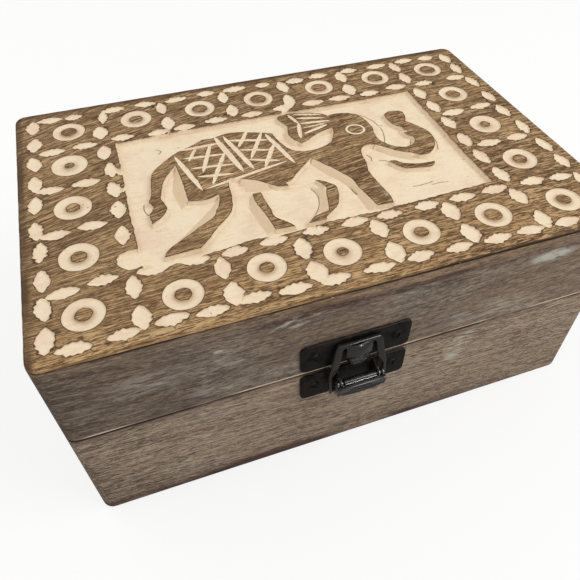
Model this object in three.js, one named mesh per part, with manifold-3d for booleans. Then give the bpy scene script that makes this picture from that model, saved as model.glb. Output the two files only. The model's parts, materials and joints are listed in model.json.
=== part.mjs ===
// A carved wooden trinket box: ten glued boards, a lid on two butt hinges, and a lever latch in front.
// Millimetres, +Z up. The origin is the middle of the underside, X runs along the box, the front faces -Y.
import * as THREE from "three";
import { ConvexGeometry } from "three/addons/geometries/ConvexGeometry.js";
import { mergeVertices } from "three/addons/utils/BufferGeometryUtils.js";
import Module from "manifold-3d";

const wasm = await Module();
wasm.setup();

// Box
const boxLength = 180;
const boxWidth = 120;
const baseHeight = 46;
const lidHeight = 34;
const wall = 8;
const bottomThickness = 5;
const topThickness = 6;
const topLip = 1.6; // the edge of the top board that shows above the lid's frame
const topFit = 0.4; // play of the top board's thick middle inside the frame
const cornerRadius = 4;
const glueLine = 0.1;

// Rounding of the top board's upper edge: how far in and how far down it starts
const edgeRoundIn = 1.6;
const edgeRoundDown = 1.3;

// Carving on the lid
const ringMarginX = 17.3; // from the board's end to the first ring's centre
const ringMarginY = 15;
const ringColumns = 7;
const ringRows = 5;
const ringRadius = 5.6;
const ringDepth = 1.2;
const leafMargin = 5.3; // from the board's edge to the outer row of leaf cuts
const leafLongwise = { length: 9.3, width: 3.7 };
const leafCrosswise = { length: 8.9, width: 4.6 };
const leafDepth = 1.1;
const leafSpread = 0.245; // of the ring pitch, either side of a ring's centre
const panelMarginX = 4.2; // from the inner row of leaf cuts to the panel's edge
const panelMarginY = 2.3;
const panelDepth = 2;
const lineDepth = 0.7;
const carvingShift = { x: -0.9, y: -1 }; // the hand-cut design sits a little off the middle
const cutAbove = 0.6; // cutters start this far above the surface

// Screws
const screwHeadRadius = 2;
const screwHeadHeight = 1.1;
const screwShankRadius = 0.8;
const screwLength = 6.5;
const screwClearance = 0.3;

// Hinges on the back
const hingeInset = 22; // from the box's end to the hinge
const hingeLength = 22;
const hingeLeafHeight = 11;
const hingeLeafThickness = 1.2;
const hingeBarrelRadius = 2.1;
const hingePinRadius = 0.9;
const hingeClearance = 0.25;
const hingeOuterKnuckle = 7; // length of each of the base leaf's two knuckles
const hingeScrewInset = 4.6;

// Latch on the front
const plateLength = 36;
const plateHeight = 11.9;
const plateThickness = 0.8;
const plateCorner = 2;
const lidPlateGap = 1.8; // from the seam up to the lid's plate
const basePlateGap = 0.6; // from the seam down to the base's plate
const plateScrewInset = 4.5;
const latchOffset = -3; // the latch was screwed on a little left of the middle
const latchPlay = 0.3;
const hookWidth = 8.4;
const hookThickness = 1;
const hookLip = 1.6; // how far the hook's lip stands above its seat
const hookSeatDrop = 3.3; // from the plate's top edge down to the seat
const seatGap = 0.5; // between the seat and the bail's bar
const bailBar = 1.6;
const bailDepth = 1.4;
const bailArm = 1.3;
const bailTopHalfWidth = 7.6;
const bailStraight = 7; // how far the bail's arms run parallel before they lean in
const earSpread = 6.8; // half the width over the two ears
const earThickness = 0.9;
const leverWall = 0.9;
const pivotRadius = 0.65;
const eyeWall = 0.7; // metal round the pivot's and the bail's holes
const pivotDrop = 3.3; // from the seam down to the lever's pivot
const pivotReach = 5; // and its distance from the wood
const bailPinDrop = 4.5; // from the lever's pivot down to the bail's pin
const bailPinBack = 1.6; // and its distance back towards the wood
const billDrop = 5.8; // from the pivot down to the tip of the lever's bill
const billReach = 3.6; // and how far out the tip stands from the pivot

const wood = new THREE.MeshStandardMaterial({ color: 0x7c6247, roughness: 0.75, metalness: 0 });
const carvedWood = new THREE.MeshStandardMaterial({ color: 0x8a6d4c, roughness: 0.7, metalness: 0 });
const blackIron = new THREE.MeshStandardMaterial({ color: 0x1c1b1c, roughness: 0.35, metalness: 0.9 });

const frontY = -boxWidth / 2;
const backY = boxWidth / 2;
const endX = boxLength / 2;
const hingeSpacing = boxLength - 2 * hingeInset - hingeLength;
const seamZ = baseHeight;
const totalHeight = baseHeight + lidHeight;
const frameTopZ = totalHeight - topLip;

const box = new THREE.Group();

function addPiece(name, geometry, material) {
  const mesh = new THREE.Mesh(geometry, material);
  mesh.name = name;
  box.add(mesh);
}

// Solids for cutting and joining

function solidOf(geometry) {
  const bare = geometry.clone();
  bare.deleteAttribute("normal");
  bare.deleteAttribute("uv");
  const merged = mergeVertices(bare, 1e-4);
  return new wasm.Manifold(
    new wasm.Mesh({
      numProp: 3,
      vertProperties: merged.attributes.position.array,
      triVerts: new Uint32Array(merged.index.array),
    }),
  );
}

function geometryOf(solid) {
  const mesh = solid.getMesh();
  const positions = new Float32Array(mesh.numVert * 3);
  for (let i = 0; i < mesh.numVert; i++) {
    positions.set(mesh.vertProperties.subarray(i * mesh.numProp, i * mesh.numProp + 3), i * 3);
  }
  const geometry = new THREE.BufferGeometry();
  geometry.setAttribute("position", new THREE.BufferAttribute(positions, 3));
  geometry.setIndex(new THREE.BufferAttribute(mesh.triVerts, 1));
  const flat = geometry.toNonIndexed();
  flat.computeVertexNormals();
  return flat;
}

function joined(geometries) {
  return geometries.map(solidOf).reduce((sum, next) => sum.add(next));
}

function cut(geometry, cutters) {
  return geometryOf(cutters.reduce((left, cutter) => left.subtract(solidOf(cutter)), solidOf(geometry)));
}

// Shapes

function blockOf(x0, x1, y0, y1, z0, z1) {
  const block = new THREE.BoxGeometry(x1 - x0, y1 - y0, z1 - z0);
  return block.translate((x0 + x1) / 2, (y0 + y1) / 2, (z0 + z1) / 2);
}

function polygon(points) {
  return new THREE.Shape(points.map(([x, y]) => new THREE.Vector2(x, y)));
}

function extruded(shape, depth, curveSegments = 5) {
  return new THREE.ExtrudeGeometry(shape, { depth, bevelEnabled: false, curveSegments });
}

// A shape drawn in y and z, extruded along x
function alongX(shape, x0, x1, curveSegments) {
  const turn = new THREE.Matrix4().makeBasis(
    new THREE.Vector3(0, 1, 0),
    new THREE.Vector3(0, 0, 1),
    new THREE.Vector3(1, 0, 0),
  );
  return extruded(shape, x1 - x0, curveSegments).applyMatrix4(turn).translate(x0, 0, 0);
}

// A shape drawn in x and z, extruded along y
function alongY(shape, y0, y1, curveSegments) {
  return extruded(shape, y1 - y0, curveSegments).rotateX(Math.PI / 2).translate(0, y1, 0);
}

function rodAlongX(radius, x0, x1, y, z, sides = 14) {
  const rod = new THREE.CylinderGeometry(radius, radius, x1 - x0, sides);
  return rod.rotateZ(Math.PI / 2).translate((x0 + x1) / 2, y, z);
}

function roundedRectangle(halfX, halfY, radius) {
  const shape = new THREE.Shape();
  shape.absarc(halfX - radius, halfY - radius, radius, 0, Math.PI / 2);
  shape.absarc(-halfX + radius, halfY - radius, radius, Math.PI / 2, Math.PI);
  shape.absarc(-halfX + radius, -halfY + radius, radius, Math.PI, 1.5 * Math.PI);
  shape.absarc(halfX - radius, -halfY + radius, radius, 1.5 * Math.PI, 2 * Math.PI);
  return shape;
}

// Boards of the frame: full-length front and back, and the two sides between them

function longBoard(side, z0, z1) {
  const outer = side * (boxWidth / 2);
  const inner = side * (boxWidth / 2 - wall);
  const centre = outer - side * cornerRadius;
  const shape = new THREE.Shape();
  shape.moveTo(-endX, inner);
  shape.lineTo(endX, inner);
  shape.absarc(endX - cornerRadius, centre, cornerRadius, 0, (side * Math.PI) / 2, side < 0);
  shape.absarc(-endX + cornerRadius, centre, cornerRadius, (side * Math.PI) / 2, Math.PI, side < 0);
  return extruded(shape, z1 - z0).translate(0, 0, z0);
}

function sideBoard(side, z0, z1) {
  const halfY = boxWidth / 2 - wall - glueLine;
  const xs = [side * endX, side * (endX - wall)].sort((a, b) => a - b);
  return blockOf(xs[0], xs[1], -halfY, halfY, z0, z1);
}

// Screws

function screwProfile() {
  return [
    new THREE.Vector2(0, -screwLength),
    new THREE.Vector2(screwShankRadius, -screwLength + 2 * screwShankRadius),
    new THREE.Vector2(screwShankRadius, -screwHeadHeight),
    new THREE.Vector2(screwHeadRadius, 0),
    new THREE.Vector2(0, 0),
  ];
}

// A screw with its head's flat at (x, y, z), driven along +Y (front) or -Y (back)
function screwAt(x, y, z, drive, grow = 0) {
  const profile = screwProfile().map((p) => {
    const outwards = p.x > 0 ? grow : 0;
    return new THREE.Vector2(p.x + outwards, p.y);
  });
  if (grow > 0) {
    profile[0].y -= grow;
    profile[3].y += grow;
    profile[4].y += grow;
  }
  const screw = new THREE.LatheGeometry(profile, 12);
  return screw.rotateX(drive > 0 ? Math.PI : 0).translate(x, y, z);
}

// Where the screws go

const lidPlateZ = seamZ + lidPlateGap + plateHeight / 2;
const basePlateZ = seamZ - basePlateGap - plateHeight / 2;
const plateScrewX = plateLength / 2 - plateScrewInset;
const plateFaceY = frontY - plateThickness;
const hingeFaceY = backY + hingeLeafThickness;
const hingeScrewZ = hingeLeafHeight - hingeScrewInset / 1.4;

function latchScrews(level) {
  return [-1, 1].map((side) => ({ x: side * plateScrewX, y: plateFaceY, z: level, drive: 1 }));
}

function hingeScrews(upwards) {
  return [-1, 1].flatMap((hinge) =>
    [-1, 1].map((side) => ({
      hinge,
      side,
      x: hinge * (hingeSpacing / 2) + side * (hingeLength / 2 - hingeScrewInset),
      y: hingeFaceY,
      z: seamZ + upwards * hingeScrewZ,
      drive: -1,
    })),
  );
}

function atLatch(geometry) {
  return geometry.translate(latchOffset, 0, 0);
}

function screwHoles(screws) {
  return screws.map((s) => screwAt(s.x, s.y, s.z, s.drive, screwClearance));
}

// The carved top board

const ringPitchX = (boxLength - 2 * ringMarginX) / (ringColumns - 1);
const ringPitchY = (boxWidth - 2 * ringMarginY) / (ringRows - 1);
const panelHalfX = ((ringColumns - 2) / 2) * ringPitchX - panelMarginX;
const panelHalfY = ((ringRows - 2) / 2) * ringPitchY - panelMarginY;

// The elephant was drawn for a panel of this half size, and is stretched to fit the real one.
const drawnHalfX = 56.6;
const drawnHalfY = 30.7;

// A repeatable small offset from -1 to 1, so that no two hand cuts are the same
function handOffset(seed) {
  const turned = Math.sin(seed * 127.1 + 311.7) * 43758.5453;
  return 2 * (turned - Math.floor(turned)) - 1;
}

// A pointed chip cut: a leaf-shaped outline with sloping sides that meet in a ridge below
function chipCut(x, y, length, width, angle, depth) {
  const half = [
    [-length / 2, 0],
    [-length / 5, width / 2],
    [length / 5, width / 2],
    [length / 2, 0],
    [length / 5, -width / 2],
    [-length / 5, -width / 2],
  ];
  const points = half.flatMap(([u, v]) => [
    new THREE.Vector3(u, v, cutAbove),
    new THREE.Vector3(u, v, 0),
  ]);
  points.push(new THREE.Vector3(-length / 6, 0, -depth), new THREE.Vector3(length / 6, 0, -depth));
  return new ConvexGeometry(points).rotateZ(angle).translate(x, y, totalHeight);
}

function chipBetween([x0, y0], [x1, y1], width, depth) {
  const length = Math.hypot(x1 - x0, y1 - y0);
  return chipCut((x0 + x1) / 2, (y0 + y1) / 2, length, width, Math.atan2(y1 - y0, x1 - x0), depth);
}

// Rings: column and row in the grid, how far the cutter wandered, and the hub left standing
const rings = [
  { column: 0, row: 4, dx: 1.7, dy: 0, hub: 3 },
  { column: 1, row: 4, dx: 1.7, dy: 0.2, hub: 2.5 },
  { column: 2, row: 4, dx: 1.1, dy: 0, hub: 2.9 },
  { column: 3, row: 4, dx: -0.4, dy: -0.2, hub: 3.1 },
  { column: 4, row: 4, dx: 0.4, dy: 0.1, hub: 3.1 },
  { column: 5, row: 4, dx: 0.4, dy: 0, hub: 3.2 },
  { column: 6, row: 4, dx: -0.4, dy: -0.6, hub: 3.2 },
  { column: 0, row: 3, dx: 0.6, dy: 0.7, hub: 1.5 },
  { column: 0, row: 2, dx: 0, dy: 0.5, hub: 2.1 },
  { column: 0, row: 1, dx: -0.2, dy: 0, hub: 2.4 },
  { column: 6, row: 3, dx: -0.3, dy: 0.7, hub: 2.6 },
  { column: 6, row: 2, dx: 0, dy: 0.3, hub: 1.7 },
  { column: 6, row: 1, dx: 0, dy: -0.2, hub: 2.4 },
  { column: 0, row: 0, dx: -1.2, dy: 0.3, hub: 2.3 },
  { column: 1, row: 0, dx: 0.4, dy: -1.3, hub: 2.1 },
  { column: 2, row: 0, dx: 0.3, dy: 0.9, hub: 2.3 },
  { column: 3, row: 0, dx: -1.6, dy: 0, hub: 1.8 },
  { column: 4, row: 0, dx: -0.5, dy: 0.4, hub: 2.4 },
  { column: 5, row: 0, dx: -0.2, dy: 0.2, hub: 2.7 },
  { column: 6, row: 0, dx: 0.5, dy: -0.8, hub: 2.4 },
];

function ringX(column) {
  return (column - (ringColumns - 1) / 2) * ringPitchX + carvingShift.x;
}

function ringY(row) {
  return (row - (ringRows - 1) / 2) * ringPitchY + carvingShift.y;
}

function ringCut(ring) {
  const groove = (ring.hub + ringRadius) / 2;
  const profile = [
    new THREE.Vector2(ring.hub, cutAbove),
    new THREE.Vector2(ring.hub, 0),
    new THREE.Vector2(groove, -ringDepth),
    new THREE.Vector2(ringRadius, 0),
    new THREE.Vector2(ringRadius, cutAbove),
    new THREE.Vector2(ring.hub, cutAbove),
  ];
  const lathe = new THREE.LatheGeometry(profile, 18).rotateX(Math.PI / 2);
  return lathe.translate(ringX(ring.column) + ring.dx, ringY(ring.row) + ring.dy, totalHeight);
}

function isBorderCell(column, row) {
  const inside = column >= 0 && column < ringColumns && row >= 0 && row < ringRows;
  const edge = column === 0 || column === ringColumns - 1 || row === 0 || row === ringRows - 1;
  return inside && edge;
}

// Each ring's cell has two leaf cuts end to end along each side, shared with its neighbour.
function leafCuts() {
  const cuts = [];
  const outerX = endX - leafMargin - 0.7;
  const outerY = boxWidth / 2 - leafMargin;
  const lineX = (line) => {
    const x = ringX(line) - ringPitchX / 2;
    return THREE.MathUtils.clamp(x, -outerX, outerX + carvingShift.x);
  };
  const lineY = (line) => {
    const y = ringY(line) - ringPitchY / 2;
    return THREE.MathUtils.clamp(y, -outerY + carvingShift.y / 2, outerY + carvingShift.y);
  };
  const leaf = (x, y, size, angle) => {
    const seed = cuts.length + 1;
    cuts.push(
      chipCut(
        x + 0.4 * handOffset(seed),
        y + 0.3 * handOffset(seed + 200),
        size.length * (1 + 0.05 * handOffset(seed + 400)),
        size.width * (1 + 0.1 * handOffset(seed + 600)),
        angle + 0.07 * handOffset(seed + 800),
        leafDepth,
      ),
    );
  };
  for (let line = 0; line <= ringRows; line++) {
    for (let column = 0; column < ringColumns; column++) {
      if (!isBorderCell(column, line) && !isBorderCell(column, line - 1)) continue;
      for (const end of [-1, 1]) {
        leaf(ringX(column) + end * leafSpread * ringPitchX, lineY(line), leafLongwise, 0);
      }
    }
  }
  for (let line = 0; line <= ringColumns; line++) {
    for (let row = 0; row < ringRows; row++) {
      if (!isBorderCell(line, row) && !isBorderCell(line - 1, row)) continue;
      for (const end of [-1, 1]) {
        leaf(lineX(line), ringY(row) + end * leafSpread * ringPitchY, leafCrosswise, Math.PI / 2);
      }
    }
  }
  return cuts;
}

function drawn([x, y]) {
  return [
    (x * panelHalfX) / drawnHalfX + carvingShift.x,
    (y * panelHalfY) / drawnHalfY + carvingShift.y,
  ];
}

// An outline is a list of stretches. Each stretch runs smoothly through its points, and the
// outline turns a corner where one stretch meets the next.
function outlineOf(stretches) {
  const points = [];
  for (const stretch of stretches) {
    const through = stretch.map((p) => new THREE.Vector2(...drawn(p)));
    const run = through.length > 2 ? new THREE.SplineCurve(through).getPoints(through.length * 2 - 2) : through;
    points.push(...run.slice(0, -1));
  }
  return points;
}

// The raised elephant, from the tail's tip over the back, round the ear, head, trunk and legs
const elephantBody = [
  [[-51, -15.2], [-50.6, -11], [-48.8, -8], [-49.4, -3.5], [-48.9, 1], [-46.6, 7.5], [-42.6, 13.6], [-37.5, 18.4], [-31, 21.7], [-25, 23.6]],
  [[-25, 23.6], [-21.5, 22.8], [-18, 24.8], [-13, 24], [-5.3, 21.2]],
  [[-5.3, 21.2], [-3.2, 15.5], [-0.6, 9], [4.5, 6], [10, 6], [15.2, 8.8], [19.2, 16.4]],
  [[19.2, 16.4], [12.8, 13.8], [5.6, 10.9]],
  [[5.6, 10.9], [2.8, 14.4], [3.6, 20.5], [2.1, 26.6], [3.4, 29.3], [6.2, 29.8]],
  [[6.2, 29.8], [13, 28], [20.2, 24.2]],
  [[20.2, 24.2], [25, 24.7], [30.6, 22.8], [32.6, 17.5], [34.3, 12], [31.6, 6], [32.4, 1.6], [36.5, -2.1], [41, -3], [44.3, 0.4]],
  [[44.3, 0.4], [42.6, 3.6], [40.7, 8.2], [41, 14], [40.3, 19.2]],
  [[40.3, 19.2], [44, 20.1], [47.8, 18.4], [47.6, 15], [46.3, 11.2], [49.2, 6.8], [51, 1], [49, -5.7], [44.4, -8.9], [38.5, -9.7]],
  [[38.5, -9.7], [42.6, -8]],
  [[42.6, -8], [37.6, -6.8], [32.8, -1.8], [27.4, 2], [23, 0.2], [22.2, -5], [20.7, -11.5], [21.8, -20], [21.1, -28.7]],
  [[21.1, -28.7], [16.2, -28.4]],
  [[16.2, -28.4], [14.8, -21], [13.6, -12.5], [9.4, -5], [5.5, 1.2]],
  [[5.5, 1.2], [0, -3.6], [-3.6, -7.4], [-7.3, -8.8]],
  [[-7.3, -8.8], [-7, -10.2], [-10, -10]],
  [[-10, -10], [-15.4, -5.2], [-23.4, -0.6]],
  [[-23.4, -0.6], [-25.2, -9], [-28.6, -16.8], [-35, -23.6], [-40.6, -29.5]],
  [[-40.6, -29.5], [-50.3, -30]],
  [[-50.3, -30], [-44, -24], [-34.4, -17.6], [-30.2, -12], [-28.4, -7.6]],
  [[-28.4, -7.6], [-33, -8.8], [-39, -8.4]],
  [[-39, -8.4], [-38.4, 1], [-39, 11.4]],
  [[-39, 11.4], [-43.6, 5.9], [-46.4, -1], [-45.6, -9], [-51, -15.2]],
];

const farHindLeg = [
  [[-19.2, -10.8], [-16.8, -10.8]],
  [[-16.8, -10.8], [-16, -17], [-15.4, -23.4], [-11.2, -29]],
  [[-11.2, -29], [-17.4, -29.2]],
  [[-17.4, -29.2], [-18.2, -20.5], [-19.2, -10.8]],
];

const farFrontLeg = [
  [[2.5, -10.7], [7.5, -14.9]],
  [[7.5, -14.9], [6.9, -20.5], [3.2, -25.6], [-2, -29.2]],
  [[-2, -29.2], [-6.8, -29.5]],
  [[-6.8, -29.5], [-3, -27], [1, -26]],
  [[1, -26], [3.2, -18.6], [4.2, -14.4], [2.5, -10.7]],
];

const tusk = [
  [[29, -8.8], [31.8, -8.4]],
  [[31.8, -8.4], [35, -12], [39.5, -13.9], [44.3, -13.2]],
  [[44.3, -13.2], [42, -16.1], [36, -15], [31, -12], [29, -8.8]],
];

// Lines cut into the elephant: the saddle cloth's borders and lattice, and the folds of the ear
const saddleLines = [
  { from: [-38.3, 16.6], to: [-33.2, -4.2], width: 1.9 },
  { from: [-23.2, 24.6], to: [-18.3, 0.6], width: 1.9 },
  { from: [-19.8, 24], to: [-14.4, 1.2], width: 1.8 },
  { from: [-4.6, 21.5], to: [-0.8, 0], width: 2 },
  { from: [-37, 20.2], to: [-4.8, 16], width: 1.4 },
  { from: [-35.6, 14.4], to: [-21.8, 12.8], width: 1.3 },
  { from: [-34.6, 8.4], to: [-20, 6.4], width: 1.2 },
  { from: [-33.6, 3], to: [-22.2, 1.6], width: 1.3 },
  { from: [-16.4, 13.4], to: [-6.6, 10.4], width: 1.2 },
  { from: [-15.4, 7.4], to: [-5.6, 3.4], width: 1.2 },
  { from: [-25.2, 19.6], to: [-31.4, 5.8], width: 1.6 },
  { from: [-21.8, 14.6], to: [-29.4, -1.6], width: 1.6 },
  { from: [-30.2, 20], to: [-33.8, 13], width: 1.3 },
  { from: [-10.6, 24], to: [-15.8, 16], width: 1.6 },
  { from: [-5.8, 21.2], to: [-13.8, 7.8], width: 1.6 },
  { from: [-4.2, 13.6], to: [-11.4, 1.4], width: 1.7 },
  { from: [-32.4, -3.8], to: [-2, 2.4], width: 1.3 },
];

const earLines = [
  { from: [6.4, 29.6], to: [8.6, 21], width: 1.2 },
  { from: [8.7, 22.4], to: [6, 13.6], width: 1.4 },
  { from: [8.4, 28.4], to: [19, 26], width: 0.9 },
  { from: [8.6, 26], to: [19, 23.2], width: 1.1 },
  { from: [8.8, 22.4], to: [20.6, 21.2], width: 1.2 },
  { from: [7.4, 15.2], to: [18.4, 18.6], width: 1.4 },
];

const eye = { x: 26.8, y: 12.4, halfLength: 3.2, halfHeight: 2.5, line: 0.7 };

// The panel's ground is cut away round the elephant, which is left standing.
function panelCut() {
  const corners = [
    [-drawnHalfX, drawnHalfY],
    [drawnHalfX, drawnHalfY],
    [drawnHalfX, -drawnHalfY + 0.6],
    [-drawnHalfX, -drawnHalfY - 0.6],
  ];
  const depth = panelDepth + cutAbove;
  const floorZ = totalHeight - panelDepth;
  const ground = solidOf(extruded(polygon(corners.map(drawn)), depth).translate(0, 0, floorZ));
  const standing = [elephantBody, farHindLeg, farFrontLeg, tusk].map((island) =>
    extruded(new THREE.Shape(outlineOf(island)), depth + 2).translate(0, 0, floorZ - 1),
  );
  return geometryOf(ground.subtract(joined(standing)));
}

function eyeCut() {
  const [x, y] = drawn([eye.x, eye.y]);
  const profile = [
    new THREE.Vector2(1 - eye.line / eye.halfHeight, cutAbove),
    new THREE.Vector2(1 - eye.line / eye.halfHeight, -lineDepth / 2),
    new THREE.Vector2(1, cutAbove),
    new THREE.Vector2(1 - eye.line / eye.halfHeight, cutAbove),
  ];
  const ring = new THREE.LatheGeometry(profile, 12).rotateX(Math.PI / 2);
  return ring.scale(eye.halfLength, eye.halfHeight, 1).translate(x, y, totalHeight);
}

function topBoardBlank() {
  const levels = [
    { z: frameTopZ + glueLine, inset: 0 },
    { z: totalHeight - edgeRoundDown, inset: 0 },
    { z: totalHeight - 0.3 * edgeRoundDown, inset: 0.35 * edgeRoundIn },
    { z: totalHeight, inset: edgeRoundIn },
  ];
  const points = levels.flatMap(({ z, inset }) => {
    const radius = Math.max(cornerRadius - inset, 0.5);
    const outline = roundedRectangle(endX - inset, boxWidth / 2 - inset, radius).getPoints(5);
    return outline.map((p) => new THREE.Vector3(p.x, p.y, z));
  });
  const middleX = endX - wall - topFit;
  const middleY = boxWidth / 2 - wall - topFit;
  const middle = blockOf(-middleX, middleX, -middleY, middleY, totalHeight - topThickness, totalHeight - topLip / 2);
  return geometryOf(joined([new ConvexGeometry(points), middle]));
}

function carvedTopBoard() {
  const lines = [...saddleLines, ...earLines].map((line) =>
    chipBetween(drawn(line.from), drawn(line.to), line.width, lineDepth),
  );
  return cut(topBoardBlank(), [panelCut(), eyeCut(), ...lines, ...rings.map(ringCut), ...leafCuts()]);
}

// Latch: the lid's plate with its hook

const pivotY = frontY - pivotReach;
const pivotZ = seamZ - pivotDrop;
const bailPinY = pivotY + bailPinBack;
const bailPinZ = pivotZ - bailPinDrop;
const hookSeatZ = lidPlateZ + plateHeight / 2 - hookSeatDrop;
const bailBarY = plateFaceY - latchPlay - bailDepth / 2 - 0.2;
const bailBarZ = hookSeatZ + seatGap + bailBar / 2;
const hookInsideY = bailBarY - bailDepth / 2 - latchPlay;

function plateShape(level) {
  const shape = roundedRectangle(plateLength / 2, plateHeight / 2, plateCorner);
  return alongY(shape, plateFaceY, frontY - glueLine, 3).translate(0, 0, level);
}

// The hook's strap rises from the plate's foot, swells into a dome and ends in a lip behind which
// the bail's bar lies.
function hookProfile() {
  const root = plateFaceY + plateThickness / 4;
  const face = hookInsideY - hookThickness;
  const crest = hookSeatZ + hookLip;
  const strapFoot = lidPlateZ - plateHeight / 2 + 0.4;
  const shape = new THREE.Shape();
  shape.moveTo(root, hookSeatZ);
  shape.lineTo(hookInsideY, hookSeatZ);
  shape.lineTo(hookInsideY, crest - hookThickness / 3);
  shape.quadraticCurveTo(face, crest, face, hookSeatZ - hookLip);
  shape.quadraticCurveTo(face, hookSeatZ - 3 * hookLip, root, strapFoot);
  return shape;
}

function lidLatchPlate() {
  const hook = alongX(hookProfile(), -hookWidth / 2, hookWidth / 2, 5);
  const plate = geometryOf(joined([plateShape(lidPlateZ), hook]));
  return cut(plate, screwHoles(latchScrews(lidPlateZ)));
}

// The base's plate carries two ears, with the lever's cheeks outside them and the bail's arms
// outside those.
const leverInsideX = earSpread + latchPlay;
const leverHalfWidth = leverInsideX + leverWall;
const pivotHalfLength = leverHalfWidth + latchPlay / 2;
const bailInsideX = pivotHalfLength + latchPlay;
const bailHalfWidth = bailInsideX + bailArm;
const eyeRadius = pivotRadius + eyeWall;
const boreRadius = pivotRadius + latchPlay / 2;
const basePlateTop = basePlateZ + plateHeight / 2;
const basePlateBottom = basePlateZ - plateHeight / 2;

function pair(inner, outer, make) {
  return [make(-outer, -inner), make(inner, outer)];
}

function earProfile() {
  const root = plateFaceY + plateThickness / 4;
  const shape = new THREE.Shape();
  shape.moveTo(root, basePlateBottom + plateCorner);
  shape.lineTo(root, basePlateTop - plateCorner / 4);
  shape.absarc(pivotY, pivotZ, eyeRadius, Math.PI / 2, 1.2 * Math.PI);
  return shape;
}

function baseLatchPlate() {
  const ears = pair(earSpread - earThickness, earSpread, (x0, x1) => alongX(earProfile(), x0, x1, 5));
  const plate = geometryOf(joined([plateShape(basePlateZ), ...ears]));
  const bore = rodAlongX(boreRadius, -bailHalfWidth, bailHalfWidth, pivotY, pivotZ);
  return cut(plate, [bore, ...screwHoles(latchScrews(basePlateZ))]);
}

// The lever: a link-shaped cheek at each side, and a bill that curls out to a rounded tip
function cheekProfile() {
  const radius = boreRadius + eyeWall;
  const square = Math.atan2(bailPinDrop, bailPinBack);
  const start = Math.PI / 2 - square;
  const shape = new THREE.Shape();
  shape.absarc(pivotY, pivotZ, radius, start, start + Math.PI);
  shape.absarc(bailPinY, bailPinZ, radius, start + Math.PI, start + 2 * Math.PI);
  return shape;
}

// The bill passes in front of the ears with the same play as the cheeks beside them.
function billSide() {
  const inner = pivotY - eyeRadius - latchPlay;
  const outer = inner - leverWall;
  const tipY = pivotY - billReach;
  const tipZ = pivotZ - billDrop;
  const shape = new THREE.Shape();
  shape.moveTo(outer, pivotZ + eyeRadius / 2);
  shape.bezierCurveTo(outer + 0.4, pivotZ - 3.4, outer + 0.6, tipZ + 1, tipY, tipZ);
  shape.lineTo(tipY + 0.4, tipZ - leverWall * 0.8);
  shape.bezierCurveTo(inner + 0.7, tipZ + 0.4, inner + 0.5, pivotZ - 3.4, inner, pivotZ + eyeRadius / 2);
  return shape;
}

// Seen from the front the bill narrows to a half-round tip.
function billFront() {
  const shoulderZ = pivotZ - eyeRadius;
  const tipZ = pivotZ - billDrop - leverWall;
  const tipHalf = leverHalfWidth / 2.2;
  const shape = new THREE.Shape();
  shape.moveTo(leverHalfWidth, pivotZ + billDrop);
  shape.lineTo(-leverHalfWidth, pivotZ + billDrop);
  shape.lineTo(-leverHalfWidth, shoulderZ);
  shape.bezierCurveTo(-leverHalfWidth, tipZ + 1.2, -tipHalf, tipZ, 0, tipZ);
  shape.bezierCurveTo(tipHalf, tipZ, leverHalfWidth, tipZ + 1.2, leverHalfWidth, shoulderZ);
  return shape;
}

function latchLever() {
  const cheeks = pair(leverInsideX, leverHalfWidth, (x0, x1) => alongX(cheekProfile(), x0, x1, 7));
  const gusset = polygon([
    [pivotY, pivotZ],
    [pivotY - eyeRadius - latchPlay - leverWall / 2, pivotZ],
    [pivotY - eyeRadius - latchPlay, pivotZ - bailPinDrop + 1],
    [bailPinY, bailPinZ],
  ]);
  const gussets = pair(leverInsideX, leverHalfWidth, (x0, x1) => alongX(gusset, x0, x1, 1));
  const bill = solidOf(alongX(billSide(), -leverHalfWidth, leverHalfWidth, 5));
  const outline = solidOf(alongY(billFront(), pivotY - 2 * billReach, frontY, 6));
  const body = joined([...cheeks, ...gussets]).add(bill.intersect(outline));
  return cut(geometryOf(body), [
    rodAlongX(boreRadius, -bailHalfWidth, bailHalfWidth, pivotY, pivotZ),
    rodAlongX(boreRadius, -bailHalfWidth, bailHalfWidth, bailPinY, bailPinZ),
  ]);
}

// The bail: a strap bent into an upside-down U, leaning in towards its bar, with a stub at each
// foot through the lever's cheek
function latchBail() {
  const rise = bailBarZ - bailPinZ;
  const back = bailBarY - bailPinY;
  const length = Math.hypot(rise, back);
  const lean = Math.atan2(-back, rise);
  const top = length + bailBar / 2;
  const underBar = length - bailBar / 2;
  const foot = -boreRadius;
  const topInside = bailTopHalfWidth - bailArm;
  const strap = polygon([
    [-bailHalfWidth, foot],
    [-bailInsideX, foot],
    [-bailInsideX, bailStraight],
    [-topInside, underBar],
    [topInside, underBar],
    [bailInsideX, bailStraight],
    [bailInsideX, foot],
    [bailHalfWidth, foot],
    [bailHalfWidth, bailStraight],
    [bailTopHalfWidth, top - bailArm],
    [bailTopHalfWidth - bailArm, top],
    [-bailTopHalfWidth + bailArm, top],
    [-bailTopHalfWidth, top - bailArm],
    [-bailHalfWidth, bailStraight],
  ]);
  const frame = alongY(strap, -bailDepth / 2, bailDepth / 2, 3);
  const stubs = pair(leverInsideX, bailInsideX + bailArm / 2, (x0, x1) => rodAlongX(pivotRadius, x0, x1, 0, 0, 10));
  return geometryOf(joined([frame, ...stubs])).rotateX(lean).translate(0, bailPinY, bailPinZ);
}

function leverPivot() {
  return rodAlongX(pivotRadius, -pivotHalfLength, pivotHalfLength, pivotY, pivotZ, 12);
}

// Hinges: surface butt hinges, with the pin just behind the back at the seam
const hingeAxisY = backY + hingeBarrelRadius + 0.2;
const knuckleGap = hingeClearance;

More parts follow.
